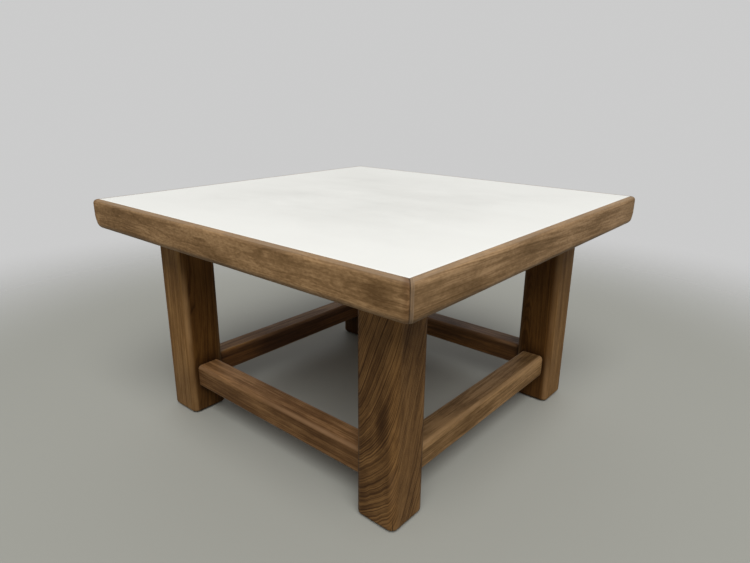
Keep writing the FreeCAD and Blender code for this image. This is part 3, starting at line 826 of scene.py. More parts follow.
# %% Make the posts
# Painted shade: the faces that look in under the table are darkened, as the shade there would darken them.
INNER_SHADE_TONE = (0.44, 0.36, 0.235)
TOWARDS_FOOT = dict(axis=2, start=170 * MM, end=40 * MM)
# Painted light on the head of each post, just below the rail.
PAINTED_LIGHT_TOWARDS_HEAD = dict(axis=2, start=240 * MM, end=340 * MM)
POST_ROUND_COUNT = 128


def inner_face_shade(middle, axis, half_width, edge_round, tone=INNER_SHADE_TONE):
    """Painted shade: darkens the face of a bar that looks in under the table."""
    side = math.copysign(1.0, middle[axis])
    start = middle[axis] - side * (half_width - edge_round)
    return dict(axis=axis, start=start, end=start - side * (edge_round - MM), tone=tone)


def stretcher_joint(middle, axis):
    """Where the middle of a stretcher meets a post."""
    joint = middle + Vector((0, 0, STRETCHER_MIDDLE))
    joint[axis] -= math.copysign(LEG_WIDTH / 2, joint[axis])
    return joint


for corner in CORNERS:
    board = dict(LEG_BOARDS[corner])
    low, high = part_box(f"leg_{corner}")
    middle = Vector(((low[0] + high[0]) / 2, (low[1] + high[1]) / 2, 0.0))
    faces = [inner_face_shade(middle, axis, LEG_WIDTH / 2, LEG_ROUND) for axis in (0, 1)]
    faces.append(dict(TOWARDS_FOOT, tone=board.pop("foot_tone")))
    faces.append(dict(PAINTED_LIGHT_TOWARDS_HEAD, tone=board.pop("painted_head_light")))
    joints = [stretcher_joint(middle, axis) for axis in (0, 1)]
    finish = timber(f"leg_timber_{corner}", heart=middle, faces=faces, joints=joints, **board)
    size = (RAIL_BASE - FOOT, LEG_WIDTH, LEG_WIDTH)
    rounds = (LEG_ROUND, FOOT_ROUND, 0.0)
    post = worked_bar(f"leg_{corner}_post", size, rounds, board["seed"], POST_ROUND_COUNT, finish)
    post.transform(Matrix.Translation(middle + Vector((0, 0, FOOT))))
    post.set_sharp_from_angle(angle=math.radians(50))
    keep_mesh(post, f"post_{corner}", [f"leg_{corner}"])
    print("post", corner, len(post.polygons), "faces")

# %% [markdown]
# ## The stretchers
# Four low bars tie the posts together. They could be cut off square against the posts, but on the real
# table a dark seam shows at each end. The worked bar gives that by itself: it is laid on its side, its
# ends are rounded too, and dirt together with painted shade fills the last few millimetres. Each top is
# painted lighter or darker to stand for light and shade, and the face towards the inside of the table
# carries painted shade.

# %% The boards for the stretchers
# Each top's tone is painted light and shade, set stretcher by stretcher: lighter on the front one, darker on
# those that lie in the table top's shade. The tone for the inner face is painted shade.
STRETCHER_BOARDS = {
    "front": dict(
        pale=(0.2281, 0.1184, 0.0456),
        dark=(0.0685, 0.0304, 0.0095),
        painted_top_light_and_shade=(1.36, 1.39, 1.48),
        inner_shade_tone=INNER_SHADE_TONE,
        seed=11.0,
        ring=35,
        wear=0.5,
    ),
    "right": dict(
        pale=(0.3651, 0.2131, 0.0911),
        dark=(0.1105, 0.057, 0.0194),
        painted_top_light_and_shade=(0.58, 0.57, 0.56),
        inner_shade_tone=INNER_SHADE_TONE,
        seed=12.0,
        ring=70,
        wear=0.5,
    ),
    "back": dict(
        pale=(0.38, 0.1995, 0.0789),
        dark=(0.1187, 0.0532, 0.0171),
        painted_top_light_and_shade=(0.65, 0.58, 0.38),
        inner_shade_tone=(0.56, 0.47, 0.28),
        seed=13.0,
        ring=110,
        sheen=0.35,
    ),
    "left": dict(
        pale=(0.38, 0.1947, 0.076),
        dark=(0.1187, 0.0513, 0.0162),
        painted_top_light_and_shade=(1.1, 1.08, 0.7),
        inner_shade_tone=(0.46, 0.36, 0.2),
        seed=14.0,
        ring=50,
        sheen=0.35,
    ),
}
STRETCHER_FIGURE = dict(ring_width=3.6 * MM, ring_strength=0.45, streaks=0.75, flecks=0.3, mottle=1.0)
print("stretcher boards", ", ".join(STRETCHER_BOARDS))

# %% Make the stretchers
LIE_ALONG_X = Matrix.Rotation(math.radians(90), 4, "Y")
BAR_ROUND_COUNT = 112


def side_axis(side):
    """The axis that a side of the table runs along."""
    return "x" if side in ("front", "back") else "y"


for quarter, side in enumerate(SIDES):
    board = dict(STRETCHER_BOARDS[side])
    turn = facing(side_axis(side), board.pop("ring"))
    low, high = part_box(f"stretcher_{side}")
    middle = (Vector(low) + Vector(high)) / 2
    # Painted light and shade on the top face, and painted shade on the inner face.
    top_shading = dict(axis=2, start=high[2] - STRETCHER_ROUND, end=high[2] - MM, tone=board.pop("painted_top_light_and_shade"))
    inward = 1 if side_axis(side) == "x" else 0
    inner_shading = inner_face_shade(middle, inward, STRETCHER_WIDTH / 2, STRETCHER_ROUND, board.pop("inner_shade_tone"))
    marks = dict(faces=[top_shading, inner_shading], half_length=SHOULDER)
    finish = timber(f"stretcher_timber_{side}", middle, turn, **STRETCHER_FIGURE, **marks, **board)
    size = (2 * SHOULDER, STRETCHER_DEPTH, STRETCHER_WIDTH)
    rounds = (STRETCHER_ROUND, STRETCHER_END_ROUND, STRETCHER_END_ROUND)
    bar = worked_bar(f"stretcher_{side}_bar", size, rounds, board["seed"], BAR_ROUND_COUNT, finish)
    faced = Matrix.Rotation(math.radians(90 * quarter), 4, "Z")
    bar.transform(Matrix.Translation(middle) @ faced @ LIE_ALONG_X @ Matrix.Translation((0, 0, -SHOULDER)))
    keep_mesh(bar, f"bar_{side}", [f"stretcher_{side}"])
    print("bar", side, len(bar.polygons), "faces")

# %% [markdown]
# ## The edge rails
# Four rails meet in mitres and are rounded as one frame, so their rounding has to run on round the
# corners. Four bevelled bars could not do that, so the rails are made point by point. The section is
# drawn once as insets from the outer face, with a fuller round below than above and a rebate for the
# white sheet.


# %% The rail's section
def arc_points(centre, radius, start_degrees, end_degrees, count):
    points = []
    for step in range(count + 1):
        angle = math.radians(start_degrees + (end_degrees - start_degrees) * step / count)
        points.append((centre[0] + radius * math.cos(angle), centre[1] + radius * math.sin(angle)))
    return points


def line_points(start, end, count):
    """The points between a start and an end, without these two."""
    return [tuple(a + (b - a) * part / count for a, b in zip(start, end)) for part in range(1, count)]


def edge_points(points):
    """The points of a rounded edge, each with how near it is to the middle of the edge."""
    last = len(points) - 1
    return [(*point, math.sin(math.pi * step / last)) for step, point in enumerate(points)]


BOTTOM_STEPS = 12
FACE_STEPS = 12
TOP_STEPS = 10
UNDERSIDE_STEPS = 8
INNER_EDGE = 0.2


def rail_section():
    """Points (inset from the outer face, height, nearness to an edge), round the rail from its underside."""
    bottom_centre = (RAIL_BOTTOM_ROUND, RAIL_BASE + RAIL_BOTTOM_ROUND)
    bottom = arc_points(bottom_centre, RAIL_BOTTOM_ROUND, 270, 180, BOTTOM_STEPS)
    top = arc_points((RAIL_TOP_ROUND, TOP - RAIL_TOP_ROUND), RAIL_TOP_ROUND, 180, 90, TOP_STEPS)
    inner_base = (RAIL_WIDTH, RAIL_BASE)
    inside = ((LIP, TOP), (LIP, SHEET_BASE), (RAIL_WIDTH, SHEET_BASE), inner_base)
    points = edge_points(bottom)
    points += [(*point, 0.0) for point in line_points(bottom[-1], top[0], FACE_STEPS)]
    points += edge_points(top)
    points += [(*point, INNER_EDGE) for point in inside]
    points += [(*point, 0.0) for point in line_points(inner_base, bottom[0], UNDERSIDE_STEPS)]
    return points


print("rail section", len(rail_section()), "points")

# %% [markdown]
# Each inset then follows the frame's rounded plan from one mitre to the other. The corner is nearly sharp
# at the top and fuller towards the underside. The last ring at a mitre is drawn in a little, which leaves
# the fine line that shows at every corner. A sweep along a curve would round every height alike, so the
# plan is worked out for each height instead.

# %% The rail's path
CORNER_SOFTENING = 2 * MM
CORNER_BOTTOM_ROUND = 16 * MM
CORNER_BOTTOM_HEIGHT = 26 * MM
STRAIGHT_STEPS = 180
NEAR_CORNER = (0.9925, 0.995, 0.9975)
CORNER_STEPS = 8
MITRE_DEGREES = 45
BEFORE_MITRE_DEGREES = 43.5


def rail_stations():
    """Places along the front rail: (how far along the straight, angle into the rounded corner)."""
    straight = [2 * step / STRAIGHT_STEPS - 1 for step in range(STRAIGHT_STEPS + 1)]
    straight += [side * part for side in (-1, 1) for part in NEAR_CORNER]
    degrees = [MITRE_DEGREES * step / CORNER_STEPS for step in range(1, CORNER_STEPS)]
    corner = [math.radians(angle) for angle in (*degrees, BEFORE_MITRE_DEGREES, MITRE_DEGREES)]
    return (
        [(-1.0, -angle) for angle in reversed(corner)]
        + [(along, 0.0) for along in sorted(straight)]
        + [(1.0, angle) for angle in corner]
    )


def corner_radius(inset, height):
    """The plan radius of the frame's corner, fuller towards the underside."""
    low = min(1.0, max(0.0, 1 - (height - RAIL_BASE) / CORNER_BOTTOM_HEIGHT))
    fuller = (3 - 2 * low) * low**2
    radius = RAIL_CORNER_ROUND + fuller * (CORNER_BOTTOM_ROUND - RAIL_CORNER_ROUND) - inset
    return max(radius, CORNER_SOFTENING if inset < LIP - MM else 0.0)


def rail_point(along, angle, inset, height):
    radius = corner_radius(inset, height)
    straight_end = HALF_TOP - inset - radius
    x = along * straight_end + radius * math.sin(angle)
    return Vector((x, -straight_end - radius * math.cos(angle), height))


print("rail path", len(rail_stations()), "stations")

# %% [markdown]
# The rails were eased by hand and catch the light unevenly, so their points are pushed in and out a
# fraction of a millimetre by noise, more on the rounded edges and not at all at the mitres. A
# displacement in the finish could do this too, but here the outline changes with it. Each point also
# carries how strongly its edge tone, partly wear and partly painted shade, shows there, and how far it
# lies from the mitre.

# %% Ease of the rail, and its wear with painted shade
EDGE_WAVE = 0.35 * MM
EDGE_TAKEN_OFF = 0.25 * MM
FACE_WAVE = 0.12 * MM
EASING_WAVES = 30
EASING_STRETCH = 0.35
CLEAR_OF_MITRE = 12
LIP_WEAR_AND_SHADE = 0.8
LOWER_WEAR_AND_SHADE = 0.3


def hand_eased(point, along, angle, inset, edge, seed):
    """How far in a point of the outer face was rubbed."""
    if angle != 0 or inset >= LIP - MM:
        return 0.0
    spot = Vector((point.x * EASING_STRETCH, inset, point.z)) * EASING_WAVES + Vector((seed, seed, seed))
    wave = noise.noise(spot)
    clear = min(1.0, (1 - abs(along)) * CLEAR_OF_MITRE)
    return clear * (edge * (EDGE_WAVE * wave + EDGE_TAKEN_OFF) - FACE_WAVE * wave * (1 - edge))


def rail_wear_and_shade(inset, height, edge):
    """How strong the rail's edge tone, partly wear and partly painted shade, is at a point: most on its lip,
    little low down.
    """
    if inset < RAIL_WIDTH / 2 and height > TOP - RAIL_TOP_ROUND / 3:
        return max(edge, LIP_WEAR_AND_SHADE)
    return edge if height > SHEET_BASE else LOWER_WEAR_AND_SHADE * edge


print("rails are eased by up to", round((EDGE_WAVE + EDGE_TAKEN_OFF) / MM, 2), "mm")

# %% The rail's mesh
MITRE_EASE = 0.35 * MM
MERGE_DISTANCE = 0.002 * MM


def smooth_mesh(shape, name):
    """A plain mesh of a built shape, smooth and facing out."""
    bmesh.ops.recalc_face_normals(shape, faces=shape.faces)
    for face in shape.faces:
        face.smooth = True
    mesh = bpy.data.meshes.new(name)
    shape.to_mesh(mesh)
    shape.free()
    return mesh


def rail_mesh(name, quarter, seed):
    section = rail_section()
    stations = rail_stations()
    shape = bmesh.new()
    nearness = shape.verts.layers.float.new("arris")
    from_mitre = shape.verts.layers.float.new("from_mitre")
    rings = []
    for number, (along, angle) in enumerate(stations):
        at_mitre = number in (0, len(stations) - 1)
        ring = []
        for inset, height, edge in section:
            ease = MITRE_EASE if at_mitre and inset < RAIL_WIDTH / 2 else 0.0
            point = rail_point(along, angle, inset + ease, height)
            point.y += hand_eased(point, along, angle, inset, edge, seed)
            vertex = shape.verts.new(point)
            vertex[nearness] = rail_wear_and_shade(inset, height, edge)
            vertex[from_mitre] = abs(point.y) - abs(point.x)
            ring.append(vertex)
        rings.append(ring)
    count = len(section)
    for here, following in zip(rings, rings[1:]):
        for place in range(count):
            after = (place + 1) % count
            shape.faces.new((here[place], here[after], following[after], following[place]))
    shape.faces.new(list(reversed(rings[0])))
    shape.faces.new(rings[-1])
    bmesh.ops.remove_doubles(shape, verts=shape.verts, dist=MERGE_DISTANCE)
    mesh = smooth_mesh(shape, name)
    mesh.transform(Matrix.Rotation(math.radians(90 * quarter), 4, "Z"))
    mesh.set_sharp_from_angle(angle=math.radians(35))
    return mesh


print("rails are drawn in by", round(MITRE_EASE / MM, 2), "mm at their mitres")

# %% [markdown]
# The rails come from paler boards than the posts, flecked and cloudy. Their lip and rounded edges are
# greyed by a tone that is partly wear and partly painted shade, and their underside is darkened by
# painted shade. A dull strip runs beside each mitre on the side rails, and the front and back ones are
# soiled there. The front rail also has a smoky stain near its end. A finish could be made for the rails
# alone, but all of this is asked of the one timber finish, so that they stay the same wood as the rest.

# %% The boards for the rails
FRONT_STAIN = dict(centre=(330 * MM, -HALF_TOP, 408 * MM), radii=(35 * MM, 30 * MM, 24 * MM))
# Painted shade: the rail darkens towards its underside, as the shade under it would.
RAIL_UNDERSIDE_SHADE = dict(
    axis=2, start=RAIL_BASE + RAIL_BOTTOM_ROUND, end=RAIL_BASE + MM, tone=(0.72, 0.70, 0.68)
)
RAIL_FIGURE = dict(
    ring_width=4.0 * MM,
    heart_distance=80 * MM,
    ring_strength=0.35,
    fleck_waves=(280.0, 140.0),
    mottle=0.95,
)
# The rails' edge tone is partly wear and partly painted shade on the rounded edges that face the light.
RAIL_MARKS = dict(wear=0.65, edge_wear_and_shade=(0.31, 0.22, 0.142), faces=[RAIL_UNDERSIDE_SHADE], mitred=True)
RAIL_LEAN = 1.2
FRONT_BOARD = dict(
    pale=(0.4086, 0.2488, 0.1175),
    dark=(0.1357, 0.073, 0.0277),
    streaks=0.36,
    flecks=0.5,
)
SIDE_BOARD = dict(
    pale=(0.4202, 0.2605, 0.1303),
    dark=(0.1435, 0.0806, 0.0325),
    streaks=0.6,
    flecks=0.35,
    worn_strip=7.5 * MM,
)
RAIL_BOARDS = {
    "front": dict(FRONT_BOARD, seed=21.0, ring=80, sway=9 * MM, sway_waves=(30.0, 6.0), patch=FRONT_STAIN),
    "right": dict(SIDE_BOARD, seed=22.0, ring=35, sway=5 * MM, sway_waves=(24.0, 4.0)),
    "back": dict(FRONT_BOARD, seed=23.0, ring=100, sway=9 * MM, sway_waves=(26.0, 5.0)),
    "left": dict(SIDE_BOARD, seed=24.0, ring=15, sway=8 * MM, sway_waves=(28.0, 5.0)),
}
print("rail boards", ", ".join(RAIL_BOARDS))

# %% Make the edge rails
for quarter, side in enumerate(SIDES):
    board = dict(RAIL_BOARDS[side])
    turn = facing(side_axis(side), board.pop("ring"), RAIL_LEAN)
    low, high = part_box(f"edge_rail_{side}")
    middle = (Vector(low) + Vector(high)) / 2
    finish = timber(f"rail_timber_{side}", middle, turn, **RAIL_FIGURE, **RAIL_MARKS, **board)
    rail = rail_mesh(f"rail_{side}_mesh", quarter, board["seed"])
    keep_mesh(rail, f"rail_{side}", [f"edge_rail_{side}"], finish)
    print("rail", side, len(rail.polygons), "faces")

# %% [markdown]
# ## The white top
# The top is a thin matt sheet, flush with the lip of the rails. It isn't paper flat: it was filled and
# rubbed down by hand, and faint clouds show in its middle. A plain white plane would look like card. So
# the finish mixes slow clouds with noise drawn out the way it was rubbed, and fades both towards the rim.

# %% The white finish
WHITE = (0.86, 0.858, 0.815)
GREYED_WHITE = (0.62, 0.615, 0.58)
RUBBING_WAVES = (6.0, 15.0, 1.0)
WHITE_CLOUDS = dict(scale=6.5, detail=5.0, roughness=0.65)
WHITE_GRAIN = dict(scale=900.0, detail=2.0)
CLOUDED_MIDDLE = [(0.35, 1.0), (0.95, 0.25)]
CLOUD_AMOUNT = 0.35
RUBBED_AMOUNT = 0.3
MEAN_SHADE = 0.3
RIM_SHADE = 0.1


def white_finish():
    material, tree, shader, place = new_finish("rubbed_white")
    cloud = noise_at(tree, place, **WHITE_CLOUDS)
    rubbed = noise_at(tree, vector_maths(tree, "MULTIPLY", place, RUBBING_WAVES), 1.0, 4.0)
    grain = noise_at(tree, place, **WHITE_GRAIN)
    x, y, _ = split_axes(tree, place)
    rim = maths(tree, "MAXIMUM", maths(tree, "ABSOLUTE", x), maths(tree, "ABSOLUTE", y))
    inside = ramp(tree, maths(tree, "DIVIDE", rim, HALF_TOP), CLOUDED_MIDDLE)
    shade = maths(tree, "ADD", centred(tree, cloud, CLOUD_AMOUNT), centred(tree, rubbed, RUBBED_AMOUNT))
    shade = maths(tree, "ADD", shade, MEAN_SHADE)
    shade = maths(tree, "MULTIPLY_ADD", shade, inside, RIM_SHADE, clamp=True)
    height = maths(tree, "MULTIPLY_ADD", grain, 0.25, rubbed)
    surface = {
        "Base Color": ramp(tree, shade, [(0.0, WHITE), (1.0, GREYED_WHITE)], "LINEAR"),
        "Roughness": maths(tree, "MULTIPLY_ADD", rubbed, 0.18, 0.42),
        "Specular IOR Level": 0.35,
        "Normal": bumped(tree, height, 0.15, 0.2 * MM),
    }
    fill_inputs(tree, shader, surface)
    return material


WHITE_FINISH = white_finish()
print("finish", WHITE_FINISH.name, len(WHITE_FINISH.node_tree.nodes), "nodes")

# %% [markdown]
# The sheet itself is a fine grid with the last few hundredths of a millimetre left to noise. Its rim is
# turned over in two small steps before it goes down, because even a thin sheet has an edge that catches
# the light. A bevel would do the same, but here the steps can be read off.

# %% Make the white top
SHEET_CELLS = 110
SHEET_WAVE = 0.06 * MM
SHEET_WAVES = 9
SHEET_RIM = 0.5 * MM
RIM_STEPS = (
    (0.6 * SHEET_RIM, 0.25 * SHEET_RIM),
    (0.4 * SHEET_RIM, 0.75 * SHEET_RIM),
    (0.0, TOP - SHEET_BASE - SHEET_RIM),
)


def white_sheet():
    half = sheet_high[0]
    sheet = bmesh.new()
    bmesh.ops.create_grid(sheet, x_segments=SHEET_CELLS, y_segments=SHEET_CELLS, size=half - SHEET_RIM)
    for vertex in sheet.verts:
        vertex.co.z = TOP + SHEET_WAVE * (noise.noise(vertex.co * SHEET_WAVES) - 1)
    turned = [edge for edge in sheet.edges if edge.is_boundary]
    for step_out, step_down in RIM_STEPS:
        grown = bmesh.ops.extrude_edge_only(sheet, edges=turned)["geom"]
        turned = [item for item in grown if isinstance(item, bmesh.types.BMEdge) and item.is_boundary]
        for vertex in [item for item in grown if isinstance(item, bmesh.types.BMVert)]:
            for axis in (0, 1):
                if abs(vertex.co[axis]) > half - 1.5 * SHEET_RIM:
                    vertex.co[axis] += math.copysign(step_out, vertex.co[axis])
            vertex.co.z -= step_down
    bmesh.ops.contextual_create(sheet, geom=turned)
    mesh = smooth_mesh(sheet, "white_sheet_mesh")
    mesh.set_sharp_from_angle(angle=math.radians(40))
    return mesh


white_top = keep_mesh(white_sheet(), "white_top", ["top_surface"], WHITE_FINISH)
print("white top", len(white_top.data.polygons), "faces")

# %% [markdown]
# ## The inner joinery
# Bearers, core board, splines and wedges hold the table together out of sight. They could be made again
# as finer meshes, but flat planed faces are right for them, so they keep their joinery shapes. They show
# only from below, and get plainer, unfinished timber.

# %% Finish the inner joinery
RAW_TONES = dict(pale=(0.50, 0.34, 0.19), dark=(0.27, 0.165, 0.085))
RAW_FIGURE = dict(ring_width=4.0 * MM, ring_strength=0.5)
RAW_BOARDS = {
    "long_bearer_front": ("x", 31.0),
    "long_bearer_back": ("x", 32.0),
    "cross_bearer_left": ("y", 33.0),
    "cross_bearer_right": ("y", 34.0),
    "top_panel": ("x", 35.0),
}
RAW_BOARDS.update({f"mitre_spline_{corner}": ("x", 36.0) for corner in CORNERS})
RAW_BOARDS.update({f"leg_wedges_{corner}": ("z", 37.0) for corner in CORNERS})
for node_name, (along, seed) in RAW_BOARDS.items():
    low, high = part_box(node_name)
    middle = (Vector(low) + Vector(high)) / 2
    turn = facing(along, 20 + 9 * seed)
    finish = timber(f"raw_timber_{node_name}", middle, turn, seed, wear=0.0, **RAW_TONES, **RAW_FIGURE)
    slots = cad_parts[node_name].material_slots
    for slot in slots:
        slot.material = finish
    print("raw timber", node_name, len(slots), "slot")

# %% [markdown]
# ## Screws and felt
# Ten screws hold the core board from below, and a felt pad is stuck under each post. Each could be
# modelled where it goes, but what repeats is better placed by a tree: one copy is turned from an outline,
# a point is set where each one goes, and the tree puts a copy on every point, turned a little further
# each time.


# %% The tree that places copies
def placed_copies_tree():
    sockets = {"Points": "Geometry", "Copy": "Object", "Turn step": "Float", "Material": "Material"}
    tree, given = new_shape_tree("placed_copies", sockets)
    copy = add_node(tree, "GeometryNodeObjectInfo", {"Object": given["Copy"]}).outputs["Geometry"]
    number = tree.nodes.new("GeometryNodeInputIndex").outputs[0]
    turn = join(tree, 0.0, 0.0, maths(tree, "MULTIPLY", number, given["Turn step"]))
    inputs = {"Points": given["Points"], "Instance": copy, "Rotation": turn}
    placed = add_node(tree, "GeometryNodeInstanceOnPoints", inputs).outputs[0]
    end_shape_tree(tree, placed, given["Material"])
    return tree


PLACED_COPIES = placed_copies_tree()
print("tree", PLACED_COPIES.name, len(PLACED_COPIES.nodes), "nodes")


# %% Turn a shape and place its copies
def turned_mesh(name, outline, count):
    """A closed shape turned about the z axis from (radius, height) points that start and end on the axis."""
    shape = bmesh.new()
    angles = [2 * math.pi * step / count for step in range(count)]
    rings = []
    for radius, height in outline:
        if radius == 0:
            rings.append([shape.verts.new((0, 0, height))])
            continue
        rings.append([shape.verts.new((radius * math.cos(a), radius * math.sin(a), height)) for a in angles])
    for here, following in zip(rings, rings[1:]):
        for step in range(count):
            corners = [here[step % len(here)], here[(step + 1) % len(here)]]
            corners += [following[(step + 1) % len(following)], following[step % len(following)]]
            shape.faces.new(list(dict.fromkeys(corners)))
    return smooth_mesh(shape, name)


def copies(name, model, points, turn_step, material):
    """One mesh with a copy of a model at every point."""
    holder = bpy.data.objects.new(f"{name}_model", model)
    bpy.context.scene.collection.objects.link(holder)
    points_mesh = bpy.data.meshes.new(f"{name}_points")
    points_mesh.from_pydata(points, [], [])
    given = {"Copy": holder, "Turn step": turn_step, "Material": material}
    mesh = from_tree(PLACED_COPIES, name, given, base=points_mesh)
    bpy.data.objects.remove(holder)
    return mesh


print("copies take", ", ".join(item.name for item in PLACED_COPIES.interface.items_tree))

# %% [markdown]
# The pads are pressed felt, dark and fuzzy, and a little rounded at their rims. The fuzz could be real
# hair, but the pads are 2 mm thick and in shadow, so a fine bump with some sheen is enough.

# %% Make the felt pads
FELT_TONES = [(0.3, (0.03, 0.024, 0.02)), (0.75, (0.085, 0.07, 0.058))]
PAD_BASE_EDGE = ((0.6 * MM, 0.0), (0.15 * MM, 0.2 * MM), (0.0, 0.7 * MM))
PAD_TOP_EDGE = ((0.0, 0.3 * MM), (0.4 * MM, 0.0))
PAD_STEPS = 64
PAD_TURN = 0.7


def felt_finish():
    material, tree, shader, place = new_finish("pressed_felt")
    fluff = noise_at(tree, place, 1400.0, 4.0)
    surface = {
        "Base Color": ramp(tree, fluff, FELT_TONES, "LINEAR"),
        "Roughness": 0.95,
        "Sheen Weight": 0.3,
        "Normal": bumped(tree, fluff, 0.6, 0.4 * MM),
    }
    fill_inputs(tree, shader, surface)
    return material


pad_low, pad_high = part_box("felt_pad_front_right")
pad_radius = (pad_high[0] - pad_low[0]) / 2
pad_height = pad_high[2]
pad_outline = [(0, 0)]
pad_outline += [(pad_radius - inset, rise) for inset, rise in PAD_BASE_EDGE]
pad_outline += [(pad_radius - inset, pad_height - drop) for inset, drop in PAD_TOP_EDGE]
pad_outline += [(0, pad_height)]
feet = [(sx * LEG_CENTRE, sy * LEG_CENTRE, 0.0) for sx, sy in CORNER_SIGNS]
pad_model = turned_mesh("felt_pad", pad_outline, PAD_STEPS)
felt = copies("felt_pads_mesh", pad_model, feet, PAD_TURN, felt_finish())
keep_mesh(felt, "felt_pads", [f"felt_pad_{corner}" for corner in CORNERS])
print("pads", len(felt.polygons), "faces")

# %% [markdown]
# The screws are plain zinc plated ones with a recess in the head. The thread is hidden in the wood, so
# the shank stays smooth. The plating has a fine spangle, which noise gives to both the colour and the
# roughness.

# %% Make the screws
ZINC_TONES = [(0.3, (0.46, 0.46, 0.45)), (0.7, (0.62, 0.61, 0.58))]
SCREW_HEAD = 4.5 * MM
SCREW_SHANK = 2.25 * MM
SCREW_NECK = 3.0 * MM
SCREW_POINT = 4.5 * MM
SCREW_RECESS = ((0, 1.2 * MM), (0.9 * MM, 0.9 * MM), (1.7 * MM, 0.1 * MM))
SCREW_RIM = ((SCREW_HEAD - 0.9 * MM, 0), (SCREW_HEAD, 0.8 * MM), (SCREW_HEAD, 1.6 * MM))
SCREW_STEPS = 24
SCREW_TURN = 0.9
LONG_SPACING = 190 * MM
CROSS_SPACING = 220 * MM


def zinc_finish():
    material, tree, shader, place = new_finish("zinc_plate")
    spangle = noise_at(tree, place, 700.0, 3.0)
    surface = {
        "Base Color": ramp(tree, spangle, ZINC_TONES, "LINEAR"),
        "Roughness": maths(tree, "MULTIPLY_ADD", spangle, 0.25, 0.25),
        "Metallic": 1.0,
    }
    fill_inputs(tree, shader, surface)
    return material


screw_low, screw_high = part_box("panel_screws")
screw_base = screw_low[2]
screw_length = screw_high[2] - screw_base
screw_outline = [*SCREW_RECESS, *SCREW_RIM, (SCREW_SHANK, SCREW_NECK)]
screw_outline += [(SCREW_SHANK, screw_length - SCREW_POINT), (0, screw_length)]
screw_points = []
for sign in (-1, 1):
    screw_points += [(step * LONG_SPACING, sign * LEG_CENTRE, screw_base) for step in (-1, 0, 1)]
for sign in (-1, 1):
    screw_points += [(sign * LEG_CENTRE, step * CROSS_SPACING, screw_base) for step in (-0.5, 0.5)]
screw_model = turned_mesh("screw", screw_outline, SCREW_STEPS)
screws = copies("screws_mesh", screw_model, screw_points, SCREW_TURN, zinc_finish())
keep_mesh(screws, "screws", ["panel_screws"])
print("screws", len(screw_points), "with", len(screws.polygons), "faces")

# %% [markdown]
# ## The floor
# The table stands on a plain pale floor. A floor that ends would draw an edge behind the table, and an
# endless one would need a far horizon. So this one turns clear a little way beyond the table and lets the
# surround show through. It is part of the stage and not of the table.

# %% Make the floor
FLOOR_HALF = 5.0
FLOOR_TONE = (0.335, 0.335, 0.30, 1.0)
FLOOR_WHOLE = 0.85
FLOOR_GONE = 1.9


def floor_finish():
    material, tree, shader, place = new_finish("pale_floor")
    away = maths(tree, "DIVIDE", vector_number(tree, "LENGTH", place), FLOOR_HALF)
    surface = {
        "Base Color": FLOOR_TONE,
        "Roughness": 0.6,
        "Specular IOR Level": 0.3,
        "Alpha": ramp(tree, away, [(FLOOR_WHOLE / FLOOR_HALF, 1.0), (FLOOR_GONE / FLOOR_HALF, 0.0)]),
    }
    fill_inputs(tree, shader, surface)
    return material


floor_mesh = bpy.data.meshes.new("floor_mesh")
floor_corners = [(sx * FLOOR_HALF, sy * FLOOR_HALF, 0) for sx, sy in CORNER_SIGNS]
floor_mesh.from_pydata(floor_corners, [], [(0, 1, 2, 3)])
floor_mesh.materials.append(floor_finish())
floor = bpy.data.objects.new("floor", floor_mesh)
bpy.context.scene.collection.objects.link(floor)
floor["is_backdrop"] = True
print("floor", 2 * FLOOR_HALF, "m, clear from", FLOOR_GONE, "m")

# %% [markdown]
# ## The light
# One broad soft light stands high on the camera's side, so that shadows are soft and fall back under the
# table. The surround is paler behind the table than behind the camera. Several lamps could be set round
# it, but one light and a graded surround are easier to match to what the faces of the table show.

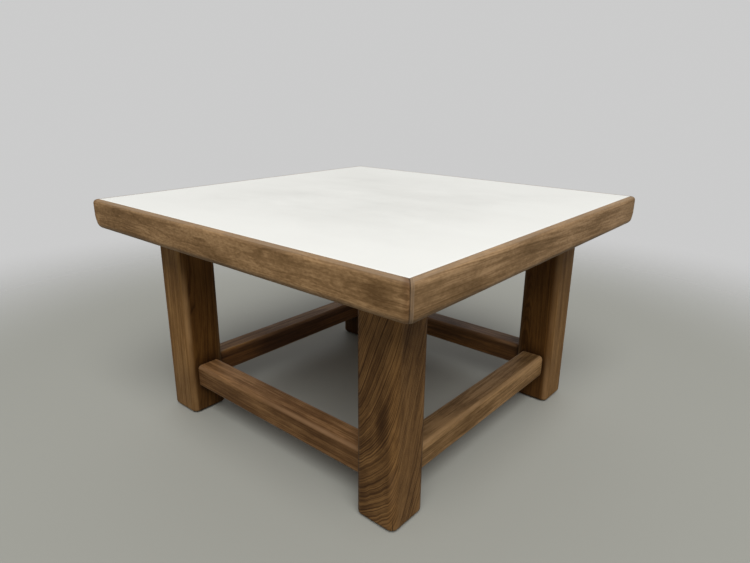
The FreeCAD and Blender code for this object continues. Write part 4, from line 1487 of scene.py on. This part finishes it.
# %% Set the light
SOFTBOX_PLACE = Vector((3.5, -3.5, 7.3))
SOFTBOX_AIM = Vector((0.0, 0.0, 0.3))
SOFTBOX_SIZE = 7.0
SOFTBOX_POWER = 830.0
AWAY_FROM_CAMERA = (-0.65, 0.76, 0.0)
SURROUND_LEVELS = [(0.0, 0.19), (0.35, 0.21), (0.75, 0.60), (1.0, 0.60)]
softbox_data = bpy.data.lights.new("softbox", "AREA")
softbox_data.shape = "DISK"
softbox_data.size = SOFTBOX_SIZE
softbox_data.energy = SOFTBOX_POWER
softbox = bpy.data.objects.new("softbox", softbox_data)
softbox.location = SOFTBOX_PLACE
softbox.rotation_euler = (SOFTBOX_AIM - SOFTBOX_PLACE).to_track_quat("-Z", "Y").to_euler()
bpy.context.scene.collection.objects.link(softbox)
world = bpy.data.worlds.new("studio")
world.use_nodes = True
sky = world.node_tree
direction = add_node(sky, "ShaderNodeTexCoord").outputs["Generated"]
behind = vector_number(sky, "DOT_PRODUCT", direction, AWAY_FROM_CAMERA)
fill_inputs(sky, sky.nodes["Background"], {"Color": ramp(sky, behind, SURROUND_LEVELS)})
bpy.context.scene.world = world
bpy.context.scene.view_settings.view_transform = "Standard"
print("lights", [item.name for item in bpy.data.lights])

# %% [markdown]
# ## The camera
# The camera stands where the photograph was taken from. It could be moved about by eye until the table
# looks right, but its place, its angles and its lens were worked out from the table's straight edges
# instead, since those leave little to choose.

# %% Set the camera
PHOTO_WIDTH = 750
FOCAL_PIXELS = 573.64
CAMERA_YAW = 0.70583
CAMERA_PITCH = -0.31419
CAMERA_ROLL = 0.00837
CAMERA_PLACE = (0.72386, -0.84365, 0.62348)
camera_data = bpy.data.cameras.new("camera")
camera_data.lens = FOCAL_PIXELS / PHOTO_WIDTH * camera_data.sensor_width
camera = bpy.data.objects.new("camera", camera_data)
aimed = Euler((math.pi / 2 + CAMERA_PITCH, 0.0, CAMERA_YAW)).to_matrix()
camera.rotation_euler = (aimed @ Matrix.Rotation(CAMERA_ROLL, 3, "Z")).to_euler()
camera.location = CAMERA_PLACE
bpy.context.scene.collection.objects.link(camera)
bpy.context.scene.camera = camera
print("lens", round(camera_data.lens, 2), "mm")

# %% [markdown]
# ## Measure and finish
# The finished table has to stay the size of its joinery, so both boxes are printed.

# %% Write the sizes and finish
boxes = {"cad": cad_box, "visual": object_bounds()}
boxes = {name: [[float(v) for v in corner] for corner in box] for name, box in boxes.items()}
print("boxes", boxes)
